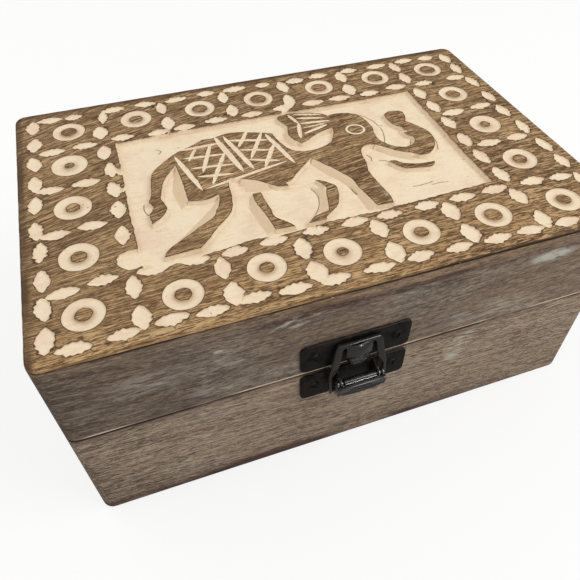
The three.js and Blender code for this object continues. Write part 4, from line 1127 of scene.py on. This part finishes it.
        def scatter(spacing, clear, wanted):
            xs = np.arange(2.5 - halfLength, halfLength - 2, spacing)
            ys = np.arange(2.5 - halfWidth, halfWidth - 2, spacing)
            grid = np.array([(x, y) for x in xs for y in ys])
            grid += np.array([[draw.uniform(-0.3, 0.3), draw.uniform(-0.3, 0.3)] for _ in grid]) * spacing
            for point in grid[wanted(grid)]:
                if tree.find((point[0], point[1], 0))[2] > clear:
                    kept.append(tuple(point))

        scatter(topBoard["fillSpacing"], 0.5, lambda p: ~self.isCut(p))
        scatter(topBoard["groundSpacing"], 0.4, self.isGround)
        return kept

    def scoopMiddles(self):
        middles = []
        for scoop in self.scoops:
            outline = scoop["edge"]
            centre = outline.mean(0)
            middles += [tuple(centre + (outline[0] - centre) * share) for share in (0.8, 0.55, 0.3, 0.0)]
            middles += [tuple(centre + (outline[len(outline) // 2] - centre) * share) for share in (0.8, 0.55, 0.3)]
        return middles


def triangulated(relief):
    points, edges = [], []
    loops = [loop for loop, _, _ in relief.cutEdges()] + relief.helpers()
    lines = [(loop, True) for loop in loops] + [(line, False) for line in relief.openLines()]
    for line, closed in lines:
        first = len(points)
        points += [tuple(p) for p in line]
        count = len(line)
        edges += [(first + i, first + (i + 1) % count) for i in range(count if closed else count - 1)]
    crowded = list(points)
    points += relief.scoopMiddles()
    points += relief.loosePoints(crowded)
    made = geometry.delaunay_2d_cdt([Vector(p) for p in points], edges, [], 1, 1e-4)
    return np.array([(v.x, v.y) for v in made[0]]), made[2]


def carveTop():
    low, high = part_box("lid_top_board")
    topZ = high.z / mm
    relief = Relief()
    flat, faces = triangulated(relief)
    print("carved top:", len(flat), "points,", len(faces), "faces")
    depth = relief.depths(flat)
    shade, splits = relief.hubShade(flat), relief.crackShade(flat)
    dirtAndShadeSpots = relief.dirtAndShadePoints()
    nearest = kdtree.KDTree(len(dirtAndShadeSpots))
    for index, ((x, y), _) in enumerate(dirtAndShadeSpots):
        nearest.insert((x, y, 0), index)
    nearest.balance()
    bm = bmesh.new()
    rimLayer = bm.verts.layers.float.new("rim")
    hubLayer = bm.verts.layers.float.new("hub")
    crackLayer = bm.verts.layers.float.new("crack")
    limeLayer = bm.faces.layers.float.new("lime")
    facetLayer = bm.faces.layers.float.new("facet")
    verts = []
    for (x, y), down, brown, split in zip(flat, depth, shade, splits):
        wave = topBoard["wave"] * noise.noise(Vector((x * 0.08, y * 0.14, 2.0)))
        wave += topBoard["ripple"] * noise.noise(Vector((x * 0.4, y * 0.9, 4.0)))
        z = topZ - topBoard["surfaceDown"] + wave - down - crackLines["depth"] * split
        vert = bm.verts.new((x * mm, y * mm, z * mm))
        _, index, away = nearest.find((x, y, 0))
        # the rim attribute: a dark rim of dirt and painted shade beside the cut edges
        vert[rimLayer] = max(0.0, 1 - away / topBoard["rimWidth"]) * dirtAndShadeSpots[index][1]
        vert[hubLayer] = brown
        vert[crackLayer] = split
        verts.append(vert)
    middles = np.array([flat[list(face)].mean(0) for face in faces])
    for face, isLime, isFacet in zip(faces, relief.isCut(middles), relief.isFacet(middles)):
        made = bm.faces.new([verts[i] for i in face])
        made[limeLayer] = float(isLime)
        # the sloping facets carry the painted shade
        made[facetLayer] = float(isLime and isFacet)
    finishBoard(bm, low, high)
    keepPiece("wood_lid_top_board", bm, "lid", ["lid_top_board"], carvedTopMaterial(), 28)


def extrudeRim(bm, edge):
    made = bmesh.ops.extrude_edge_only(bm, edges=edge)["geom"]
    moved = [g for g in made if isinstance(g, bmesh.types.BMVert)]
    return moved, [g for g in made if isinstance(g, bmesh.types.BMEdge) and len(g.link_faces) == 1]


def finishBoard(bm, low, high):
    # roll the edge over, then the lip, its underside, and the thick middle that fits in the frame
    edge = [e for e in bm.edges if len(e.link_faces) == 1]
    topZ = high.z
    steps = [(0.62, 0.12), (0.28, 0.42), (0.08, 0.78), (0.0, 1.0)]
    rows = [(share * topBoard["edgeIn"], topZ - down * topBoard["edgeDown"] * mm) for share, down in steps]
    rows.append((0.0, topZ - (topBoard["underLip"] - 0.25) * mm))
    rows.append((0.3, topZ - topBoard["underLip"] * mm))
    for inset, z in rows:
        moved, edge = extrudeRim(bm, edge)
        for vert in moved:
            vert[bm.verts.layers.float["rim"]] = 0.0
            chew = 0.5 + 0.5 * noise.noise(Vector((vert.co.x * 450, vert.co.y * 450, z * 300)))
            x, y = rimPoint(np.array([vert.co.x / mm, vert.co.y / mm]), inset + 0.16 * chew)
            vert.co = (x * mm, y * mm, z)
    halfX, halfY = high.x - topBoard["wall"] * mm, high.y - topBoard["wall"] * mm
    for z in (topZ - topBoard["underLip"] * mm, low.z):
        moved, edge = extrudeRim(bm, edge)
        for vert in moved:
            vert.co.x = min(max(vert.co.x, -halfX), halfX)
            vert.co.y = min(max(vert.co.y, -halfY), halfY)
            vert.co.z = z
    bmesh.ops.contextual_create(bm, geom=edge)
    bmesh.ops.remove_doubles(bm, verts=[v for v in bm.verts if v.co.z < topZ - 2.5 * mm], dist=1e-6)
    bmesh.ops.dissolve_degenerate(bm, dist=1e-7, edges=bm.edges)


# Latch and hinges

iron = {
    "plateThick": 0.7 * mm,
    "plateCorner": 2.0 * mm,
    "rim": 0.25 * mm,
    "sunk": 0.2 * mm,
    "screwHead": 1.85 * mm,
    "screwDome": 0.55 * mm,
    "slotWidth": 0.5 * mm,
    "slotDepth": 0.3 * mm,
    "screwLength": 5.6 * mm,
    "screwShank": 0.8 * mm,
}


def markWear(piece, angle=35):
    # bare metal shows where a corner stands out
    mesh = piece.data
    bm = bmesh.new()
    bm.from_mesh(mesh)
    layer = bm.verts.layers.float.get("worn") or bm.verts.layers.float.new("worn")
    for vert in bm.verts:
        bends = [e.calc_face_angle_signed() for e in vert.link_edges if len(e.link_faces) == 2]
        vert[layer] = min(1.0, max([0.0] + bends) / math.radians(angle))
    bm.to_mesh(mesh)
    bm.free()


def ironPiece(name, bm, body, nodes, sharpAngle=35):
    piece = keepPiece(name, bm, body, nodes, ironLook, sharpAngle)
    markWear(piece)
    return piece


def addPlate(bm, low, high):
    part = blockMesh(low, high)
    through = [e for e in part.edges if abs(e.verts[0].co.y - e.verts[1].co.y) > 1e-5]
    bevelEdges(part, through, iron["plateCorner"], 5)
    rimEdges = [e for e in part.edges if all(abs(v.co.y - low.y) < 1e-7 for v in e.verts)]
    bevelEdges(part, rimEdges, iron["rim"], 2)
    mergeInto(bm, part)


def mergeInto(bm, part):
    mesh = bpy.data.meshes.new("part")
    bmesh.ops.recalc_face_normals(part, faces=part.faces)
    part.to_mesh(mesh)
    part.free()
    bm.from_mesh(mesh)
    bpy.data.meshes.remove(mesh)


def addProfile(bm, outline, start, end, bevel, segments):
    # an outline in y and z, pulled along x, with its two side edges rounded
    part = bmesh.new()
    extrudedOutline(part, outline, 0, start, end)
    sideEdges = [e for e in part.edges if abs(e.verts[0].co.x - e.verts[1].co.x) < 1e-9]
    bevelEdges(part, sideEdges, bevel, segments)
    mergeInto(bm, part)


def addTurned(bm, profile, centre, axis):
    # a profile of (along, radius) pairs, spun about the given axis through the centre
    part = bmesh.new()
    verts = [part.verts.new((radius, 0, along)) for along, radius in profile]
    edges = [part.edges.new(pair) for pair in zip(verts, verts[1:])]
    bmesh.ops.spin(
        part, geom=verts + edges, cent=(0, 0, 0), axis=(0, 0, 1), dvec=(0, 0, 0),
        angle=2 * math.pi, steps=24, use_merge=True, use_duplicate=False,
    )
    bmesh.ops.remove_doubles(part, verts=part.verts, dist=1e-7)
    turn = Vector((0, 0, 1)).rotation_difference(Vector(axis)).to_matrix().to_4x4()
    bmesh.ops.transform(part, matrix=Matrix.Translation(centre) @ turn, verts=part.verts)
    mergeInto(bm, part)


def turnedRod(half, radius, endRadius, chamfer, bore=0.0):
    # the profile of a rod with chamfered ends, or of a tube if it has a bore
    outside = [(-half, endRadius), (chamfer - half, radius), (half - chamfer, radius), (half, endRadius)]
    return [(-half, bore)] + outside + [(half, bore)] + ([(-half, bore)] if bore else [])


def screwHead(node, body, outward, turn):
    low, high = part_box(node)
    centre = (low + high) / 2
    faceY = low.y if outward < 0 else high.y
    bm = bmesh.new()
    head, dome = iron["screwHead"], iron["screwDome"]
    crown = [(dome * math.sin(math.radians(a)), head * math.cos(math.radians(a))) for a in (0, 25, 50, 72)]
    shank, length = iron["screwShank"], iron["screwLength"]
    point = [(-length, 0.0), (0.8 * mm - length, shank - 0.1 * mm), (-1.0 * mm, shank)]
    profile = point + [(-0.1 * mm, head)] + crown + [(dome, 0.0)]
    addTurned(bm, profile, (centre.x, faceY, centre.z), (0, outward, 0))
    cutter = bmesh.new()
    bmesh.ops.create_cube(cutter, size=1.0)
    bmesh.ops.scale(cutter, vec=(3 * head, 2 * iron["slotDepth"], iron["slotWidth"]), verts=cutter.verts)
    bmesh.ops.rotate(cutter, cent=(0, 0, 0), matrix=Matrix.Rotation(math.radians(turn), 3, "Y"), verts=cutter.verts)
    bmesh.ops.translate(cutter, vec=(centre.x, faceY + outward * dome, centre.z), verts=cutter.verts)
    piece = ironPiece("iron_" + node, bm, body, [node])
    cutSlot(piece, cutter)


def cutSlot(piece, cutter):
    mesh = bpy.data.meshes.new("cutter")
    cutter.to_mesh(mesh)
    cutter.free()
    tool = bpy.data.objects.new("cutter", mesh)
    bpy.context.scene.collection.objects.link(tool)
    slot = piece.modifiers.new("slot", "BOOLEAN")
    slot.operation = "DIFFERENCE"
    slot.solver = "EXACT"
    slot.object = tool
    bpy.context.view_layer.update()
    evaluated = piece.evaluated_get(bpy.context.evaluated_depsgraph_get())
    cutMesh = bpy.data.meshes.new_from_object(evaluated)
    piece.modifiers.clear()
    old = piece.data
    piece.data = cutMesh
    bpy.data.meshes.remove(old)
    bpy.data.objects.remove(tool)
    bpy.data.meshes.remove(mesh)


latchX = sum(corner.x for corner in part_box("latch_pivot_pin")) / 2


def makeLatch():
    joints = {joint["name"]: joint for joint in frame["joints"]}
    pivot = Vector(joints["latch_lever_pivot"]["pos_m"])
    bailPin = Vector(joints["latch_bail_pivot"]["pos_m"])
    makeHookPlate()
    makeEarPlate(pivot)
    makeLever(pivot, bailPin)
    makeBail(bailPin)
    low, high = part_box("latch_pivot_pin")
    half, radius = (high.x - low.x) / 2, (high.z - low.z) / 2
    bm = bmesh.new()
    addTurned(bm, turnedRod(half, radius, 0.6 * radius, 0.2 * mm), pivot, (1, 0, 0))
    ironPiece("iron_latch_pivot_pin", bm, "base", ["latch_pivot_pin"])
    for part in ("lid", "base"):
        for number, hand in enumerate(("left", "right")):
            screwHead(f"latch_{part}_screw_{hand}", part, -1, 35 + 50 * number + (20 if part == "lid" else 0))


hookShape = {
    "seatDown": 3.3 * mm,
    "toeUp": 0.1 * mm,
    "half": 4.2 * mm,
    "lip": 1.65 * mm,
    "thick": 1.0 * mm,
    "domeFoot": 4.5 * mm,
    "tongueBack": 0.75 * mm,
    "tongueHalf": 3.3 * mm,
    "bulge": 1.1 * mm,
    "sag": 0.5 * mm,
    "cuts": 12,
}


def addHook(bm, root, front, toe, seat):
    # a dome whose lip stands before the bail's bar, and a flat tongue below it
    half, thick = hookShape["half"], hookShape["thick"]
    inner, crest = front + thick, seat + hookShape["lip"]
    foot, tongue = seat - hookShape["domeFoot"], front + hookShape["tongueBack"]
    outline = [(root, seat), (inner, seat), (inner, crest - 0.4 * mm)]
    outline += curvePoints(  # over the lip
        (inner - 0.15 * mm, crest - 0.05 * mm), (inner - 0.45 * mm, crest - 0.3 * mm),
        (front + 0.1 * mm, crest - 1.0 * mm), (front, crest - 2.3 * mm), 7,
    )
    outline += curvePoints(  # down the dome to its foot
        (front, crest - 2.8 * mm), (front, foot + 1.4 * mm), (front + 0.1 * mm, foot + 0.3 * mm), (tongue, foot), 6,
    )
    outline += [(tongue, foot - 0.4 * mm), (tongue, toe + 1.0 * mm)]
    outline += curvePoints(  # round the tongue's end
        (tongue + 0.1 * mm, toe + 0.4 * mm), (tongue + 0.2 * mm, toe),
        (tongue + 0.5 * mm, toe), (tongue + 0.9 * mm, toe), 3,
    )
    outline += [(root, toe)]
    part = bmesh.new()
    extrudedOutline(part, outline, 0, latchX - half, latchX + half)
    for i in range(1, hookShape["cuts"]):
        slicePart(part, Vector((latchX + half * (2 * i / hookShape["cuts"] - 1), 0, 0)), (1, 0, 0))
    narrow = hookShape["tongueHalf"] / half
    for vert in part.verts:
        across = (vert.co.x - latchX) / half
        out = min(1.0, max(0.0, (root - vert.co.y) / (root - front)))
        if vert.co.z > foot + 0.2 * mm:
            vert.co.y += hookShape["bulge"] * out * across * across
            vert.co.z -= hookShape["sag"] * out * across * across
        else:
            low = min(1.0, max(0.0, (foot - vert.co.z) / (foot - toe)))
            vert.co.x = latchX + half * across * (narrow - 0.3 * low ** 4)
            vert.co.z += 0.7 * mm * low * across * across
    bevelEdges(part, sharpEdges(part, 55), 0.18 * mm, 2)
    mergeInto(bm, part)


def makeHookPlate():
    low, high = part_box("latch_lid_plate")
    faceY = high.y - iron["plateThick"]
    bm = bmesh.new()
    addPlate(bm, Vector((low.x, faceY, low.z)), high)
    addHook(bm, faceY + iron["sunk"], low.y, low.z + hookShape["toeUp"], high.z - hookShape["seatDown"])
    ironPiece("iron_latch_lid_plate", bm, "lid", ["latch_lid_plate"])


earShape = {
    "radius": 1.3 * mm,
    "thick": 0.9 * mm,
    "starts": (-6.8 * mm, 5.9 * mm),
    "footUp": 2.0 * mm,
    "headDown": 0.5 * mm,
}


def makeEarPlate(pivot):
    low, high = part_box("latch_base_plate")
    faceY = high.y - iron["plateThick"]
    root = faceY + iron["sunk"]
    bm = bmesh.new()
    addPlate(bm, Vector((low.x, faceY, low.z)), high)
    outline = [(root, low.z + earShape["footUp"])]
    outline += arcPoints((pivot.y, pivot.z), earShape["radius"], 218, 90, 8)
    outline += [(root, high.z - earShape["headDown"])]
    for start in earShape["starts"]:
        addProfile(bm, outline, latchX + start, latchX + start + earShape["thick"], 0.15 * mm, 2)
    ironPiece("iron_latch_base_plate", bm, "base", ["latch_base_plate"])


leverShape = {
    "half": 8.0 * mm,
    "wall": 0.9 * mm,
    "front": 2.55 * mm,
    "cheek": 1.5 * mm,
    "shelf": 0.4 * mm,
    "crown": 0.5 * mm,
    "droop": 0.3 * mm,
    "shoulder": 0.35,
    "tipShare": 0.06,
    "rows": 14,
    "drop": 3.6 * mm,
    "reach": 2.25 * mm,
    "roll": 1.42 * mm,
    "rollHalf": 5.4 * mm,
}


def leverBill(pivot, outer):
    # the thumb piece: a plate that hangs from the roll and narrows to a rounded end
    half, rows, shoulder = leverShape["half"], leverShape["rows"], leverShape["shoulder"]
    tip = (pivot.y - leverShape["reach"], pivot.z - leverShape["drop"])
    run = curvePoints(
        (outer, pivot.z + 0.5 * mm), (outer + 0.3 * mm, pivot.z - 2.4 * mm),
        (outer + 0.25 * mm, tip[1] + 1.0 * mm), tip, rows,
    )
    bill = bmesh.new()
    bmesh.ops.create_grid(bill, x_segments=16, y_segments=rows, size=1.0)
    for vert in bill.verts:
        across, down = vert.co.x, (1 - vert.co.y) / 2
        y, z = run[round(down * rows)]
        late = max(0.0, (down - shoulder) / (1 - shoulder))
        narrow = math.sqrt(max(0.0, 1 - late ** 2.4)) * (1 - leverShape["tipShare"]) + leverShape["tipShare"]
        crown = leverShape["crown"] * (1 - across * across) * math.sin(math.pi * min(1.0, down * 1.1))
        droop = leverShape["droop"] * (1 - narrow) * abs(across)
        vert.co = (latchX + across * half * narrow, y + crown, z - droop)
    bmesh.ops.recalc_face_normals(bill, faces=bill.faces)
    if sum(face.normal.y for face in bill.faces) > 0:
        bmesh.ops.reverse_faces(bill, faces=bill.faces)
    bmesh.ops.solidify(bill, geom=bill.faces[:], thickness=leverShape["wall"])
    bevelEdges(bill, sharpEdges(bill, 50), 0.25 * mm, 2)
    return bill


def makeLever(pivot, bailPin):
    half, wall, cheek = leverShape["half"], leverShape["wall"], leverShape["cheek"]
    outer, shelf = pivot.y - leverShape["front"], pivot.z + leverShape["shelf"]
    bm = bmesh.new()
    mergeInto(bm, leverBill(pivot, outer))
    slope = math.degrees(math.atan2(bailPin.z - pivot.z, bailPin.y - pivot.y))
    outline = arcPoints((pivot.y, pivot.z), cheek, slope + 90, slope + 270, 8)
    outline += arcPoints((bailPin.y, bailPin.z), cheek, slope - 90, slope + 90, 8)
    gusset = [(pivot.y, shelf), (outer + 0.4 * mm, shelf),
              (outer + 0.6 * mm, pivot.z - 3.6 * mm), (bailPin.y, bailPin.z)]
    for start in (latchX - half, latchX + half - wall):
        addProfile(bm, outline, start, start + wall, 0.18 * mm, 2)
        addProfile(bm, gusset, start + 0.05 * mm, start + wall - 0.05 * mm, 0.1 * mm, 1)
    roll, rollHalf = leverShape["roll"], leverShape["rollHalf"]
    profile = turnedRod(rollHalf, roll, roll - 0.2 * mm, 0.2 * mm, 0.8 * mm)
    addTurned(bm, profile, (latchX, pivot.y, pivot.z), (1, 0, 0))
    web = [(pivot.y - 1.0 * mm, shelf), (outer + 0.4 * mm, shelf),
           (outer + 0.5 * mm, pivot.z - 1.2 * mm), (pivot.y - 1.0 * mm, pivot.z - 0.9 * mm)]
    addProfile(bm, web, latchX - rollHalf + 0.1 * mm, latchX + rollHalf - 0.1 * mm, 0.1 * mm, 1)
    ironPiece("iron_latch_lever", bm, "lever", ["latch_lever"])


bailShape = {
    "heel": 0.9 * mm,
    "pin": 0.65 * mm,
    "pinStart": 7.1 * mm,
    "halfFoot": 9.6 * mm,
    "footWidth": 1.1 * mm,
    "strapWidth": 3.0 * mm,
    "halfTop": 7.6 * mm,
    "topWidth": 2.2 * mm,
    "clear": 7.0 * mm,
    "depth": 1.4 * mm,
    "bar": 1.6 * mm,
    "corner": 1.5 * mm,
}


def makeBail(bailPin):
    # the strap is narrow beside the lever, and wide and flat from there up to its bar
    low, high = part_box("latch_bail")
    barY, barZ = high.y - 0.75 * mm, high.z - 0.8 * mm
    length = math.hypot(barZ - bailPin.z, barY - bailPin.y)
    lean = math.atan2(bailPin.y - barY, barZ - bailPin.z)
    halfFoot, halfTop, clear = bailShape["halfFoot"], bailShape["halfTop"], bailShape["clear"]
    corner, bar, heel = bailShape["corner"], bailShape["bar"], bailShape["heel"]
    footInside, topInside = halfFoot - bailShape["footWidth"], halfTop - bailShape["topWidth"]
    # pairs of points on the outer and the inner edge, from the left foot up to the bar, then mirrored
    path = [((-halfFoot, -heel), (-footInside, -heel)), ((-halfFoot, clear), (-footInside, clear))]
    path += [((-halfFoot + 0.1 * mm, clear + 1.0 * mm), (-halfFoot + bailShape["strapWidth"], clear + 3.4 * mm))]
    outside = arcPoints((-halfTop + corner, length + bar / 2 - corner), corner, 175, 95, 4)
    inside = arcPoints((-topInside + corner / 2, length - bar / 2 - corner / 2), corner / 2, 175, 95, 4)
    path += list(zip(outside, inside))
    path += [((-x0, z0), (-x1, z1)) for (x0, z0), (x1, z1) in reversed(path)]
    bm = bmesh.new()
    half = bailShape["depth"] / 2
    outline = [(x, z) for (x, z), _ in path] + [(x, z) for _, (x, z) in reversed(path)]
    extrudedOutline(bm, outline, 1, -half, half)
    bmesh.ops.recalc_face_normals(bm, faces=bm.faces)
    bevelEdges(bm, sharpEdges(bm, 60), 0.3 * mm, 3)
    for hand in (-1, 1):
        start, end = sorted((hand * bailShape["pinStart"], hand * (halfFoot - 0.05 * mm)))
        profile = turnedRod((end - start) / 2, bailShape["pin"], bailShape["pin"] - 0.15 * mm, 0.15 * mm)
        addTurned(bm, profile, ((start + end) / 2, 0, 0), (1, 0, 0))
    bmesh.ops.rotate(bm, cent=(0, 0, 0), matrix=Matrix.Rotation(lean, 3, "X"), verts=bm.verts)
    bmesh.ops.translate(bm, vec=bailPin, verts=bm.verts)
    ironPiece("iron_latch_bail", bm, "bail", ["latch_bail"])


hingeShape = {
    "leafThick": 1.1 * mm,
    "leafCorner": 1.5 * mm,
    "barrel": 2.1 * mm,
    "bore": 0.95 * mm,
    "pin": 0.88 * mm,
    "outer": 7.0 * mm,
    "gap": 0.25 * mm,
}


def makeHinge(hand):
    axis = Vector(next(joint for joint in frame["joints"] if joint["name"] == "lid_hinge")["pos_m"])
    pinLow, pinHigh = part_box(f"hinge_{hand}_pin")
    leafLow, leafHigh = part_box(f"hinge_{hand}_base_leaf")
    left, right, radius = leafLow.x, leafHigh.x, hingeShape["barrel"]
    lidKnuckle = [(left + hingeShape["outer"] + hingeShape["gap"], right - hingeShape["outer"] - hingeShape["gap"])]
    baseKnuckles = [(left, left + hingeShape["outer"]), (right - hingeShape["outer"], right)]
    for part, upward, knuckles in (("lid", 1, lidKnuckle), ("base", -1, baseKnuckles)):
        node = f"hinge_{hand}_{part}_leaf"
        low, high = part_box(node)
        inY, outY = low.y, low.y + hingeShape["leafThick"]
        near = axis.z + (radius + 0.35 * mm) * upward
        far = high.z if upward > 0 else low.z
        bottom, top = sorted((near, far))
        leaf = blockMesh(Vector((left, inY, bottom)), Vector((right, outY, top)))
        through = [e for e in leaf.edges if abs(e.verts[0].co.y - e.verts[1].co.y) > 1e-5
                   and abs(e.verts[0].co.z - far) < 1e-6]
        bevelEdges(leaf, through, hingeShape["leafCorner"], 4)
        rimEdges = [e for e in leaf.edges if all(abs(v.co.y - outY) < 1e-7 for v in e.verts)]
        bevelEdges(leaf, rimEdges, 0.2 * mm, 2)
        bm = bmesh.new()
        mergeInto(bm, leaf)
        # each knuckle, and the wing that joins it to the leaf
        bottom, top = sorted((axis.z, near + 0.5 * mm * upward))
        wing = [(inY, bottom), (outY, bottom), (outY, top), (inY, top)]
        for start, end in knuckles:
            profile = turnedRod((end - start) / 2, radius, radius - 0.25 * mm, 0.25 * mm, hingeShape["bore"])
            addTurned(bm, profile, ((start + end) / 2, axis.y, axis.z), (1, 0, 0))
            addProfile(bm, wing, start + 0.02 * mm, end - 0.02 * mm, 0.05 * mm, 1)
        ironPiece(f"iron_{node}", bm, part, [node])
    bm = bmesh.new()
    profile = turnedRod((pinHigh.x - pinLow.x) / 2, hingeShape["pin"], hingeShape["pin"] - 0.18 * mm, 0.2 * mm)
    addTurned(bm, profile, ((pinLow.x + pinHigh.x) / 2, axis.y, axis.z), (1, 0, 0))
    ironPiece(f"iron_hinge_{hand}_pin", bm, "base", [f"hinge_{hand}_pin"])
    for part in ("lid", "base"):
        for number, where in enumerate(("left", "right")):
            screwHead(f"hinge_{hand}_{part}_screw_{where}", part, 1, 20 + 65 * number)


# Stage: floor, light and camera

stage = {
    "floorSize": 3.0,
    "floorTone": tone(246, 245, 243),
    # each lamp's place, its size in metres, and its power
    "keyLight": ((0.5, -0.3, 0.68), (0.6, 0.5), 3.6),
    "glintLight": ((0.285, -0.955, 0.2), (0.12, 0.12), 0.7),
    "fillLight": ((-0.45, 0.3, 0.7), (0.8, 0.6), 2.2),
    "worldStrength": 0.56,
    "mirroredFloor": 0.17,
    "mirroredSky": 0.2,
    "lens": 35.855,
    "lensShift": (-0.0229, -0.00978),
    "cameraPlace": (-0.05469, -0.15428, 0.1936),
    "cameraRight": (0.94143, -0.33713, 0.00695),
    "cameraUp": (0.24147, 0.6884, 0.68396),
}


def makeFloor():
    bm = bmesh.new()
    bmesh.ops.create_grid(bm, x_segments=2, y_segments=2, size=stage["floorSize"] / 2)
    mesh = bpy.data.meshes.new("floor")
    bm.to_mesh(mesh)
    bm.free()
    floor = bpy.data.objects.new("floor", mesh)
    bpy.context.scene.collection.objects.link(floor)
    material, shader, flow, _ = newMaterial("paleFloor")
    plug(flow, shader, {"Base Color": stage["floorTone"], "Roughness": 0.9})
    shader.inputs["Specular IOR Level"].default_value = 0.0
    # the camera sees the floor nearly white, and metal mirrors it as a dim grey
    seen = flow.make("ShaderNodeLightPath", None, None, "Is Camera Ray")
    mirrored = flow.make("ShaderNodeLightPath", None, None, "Is Glossy Ray")
    glow = flow.make("ShaderNodeEmission", None, {
        "Color": (1, 1, 1, 1), "Strength": seen + mirrored * stage["mirroredFloor"],
    })
    out = flow.tree.nodes["Material Output"]
    base = Flow(flow.tree, shader.outputs["BSDF"])
    both = flow.make("ShaderNodeMixShader", None, {0: seen * 0.8 + mirrored, 1: base, 2: glow})
    flow.tree.links.new(both.socket, out.inputs["Surface"])
    mesh.materials.append(material)


def softBox(name, aim):
    place, size, power = stage[name]
    light = bpy.data.lights.new(name, "AREA")
    light.shape = "RECTANGLE"
    light.size, light.size_y = size
    light.energy = power
    lamp = bpy.data.objects.new(name, light)
    lamp.location = place
    lamp.rotation_euler = (Vector(aim) - Vector(place)).to_track_quat("-Z", "Y").to_euler()
    bpy.context.scene.collection.objects.link(lamp)


def makeLight():
    softBox("keyLight", (0, 0, 0.05))
    softBox("glintLight", (0, -0.06, 0.05))
    softBox("fillLight", (0, 0, 0.04))
    world = bpy.data.worlds.new("studio")
    bpy.context.scene.world = world
    world.use_nodes = True
    flow = Flow(world.node_tree)
    seen = flow.make("ShaderNodeLightPath", None, None, "Is Camera Ray")
    mirrored = flow.make("ShaderNodeLightPath", None, None, "Is Glossy Ray")
    plain = stage["worldStrength"]
    strength = seen * (1.0 - plain) + mirrored * (stage["mirroredSky"] - plain) + plain
    background = world.node_tree.nodes["Background"]
    background.inputs["Color"].default_value = (1, 1, 1, 1)
    world.node_tree.links.new(strength.socket, background.inputs["Strength"])


def makeCamera():
    data = bpy.data.cameras.new("camera")
    data.lens = stage["lens"]
    data.sensor_width = 36.0
    data.shift_x, data.shift_y = stage["lensShift"]
    data.clip_start, data.clip_end = 0.01, 20.0
    camera = bpy.data.objects.new("camera", data)
    right = Vector(stage["cameraRight"]).normalized()
    up = Vector(stage["cameraUp"])
    up = (up - right * up.dot(right)).normalized()
    back = right.cross(up)
    turn = Matrix((right, up, back)).transposed().to_4x4()
    camera.matrix_world = Matrix.Translation(stage["cameraPlace"]) @ turn
    bpy.context.scene.collection.objects.link(camera)
    bpy.context.scene.camera = camera


ironLook = ironMaterial()
makeCamera()
makeFloor()
makeLight()
print("stage ready")
makeBoards()
print("boards ready")
carveTop()
print("carved top ready")
makeLatch()
print("latch ready")
for hand in ("left", "right"):
    makeHinge(hand)
print("hinges ready")

bpy.context.scene.view_settings.view_transform = "Standard"
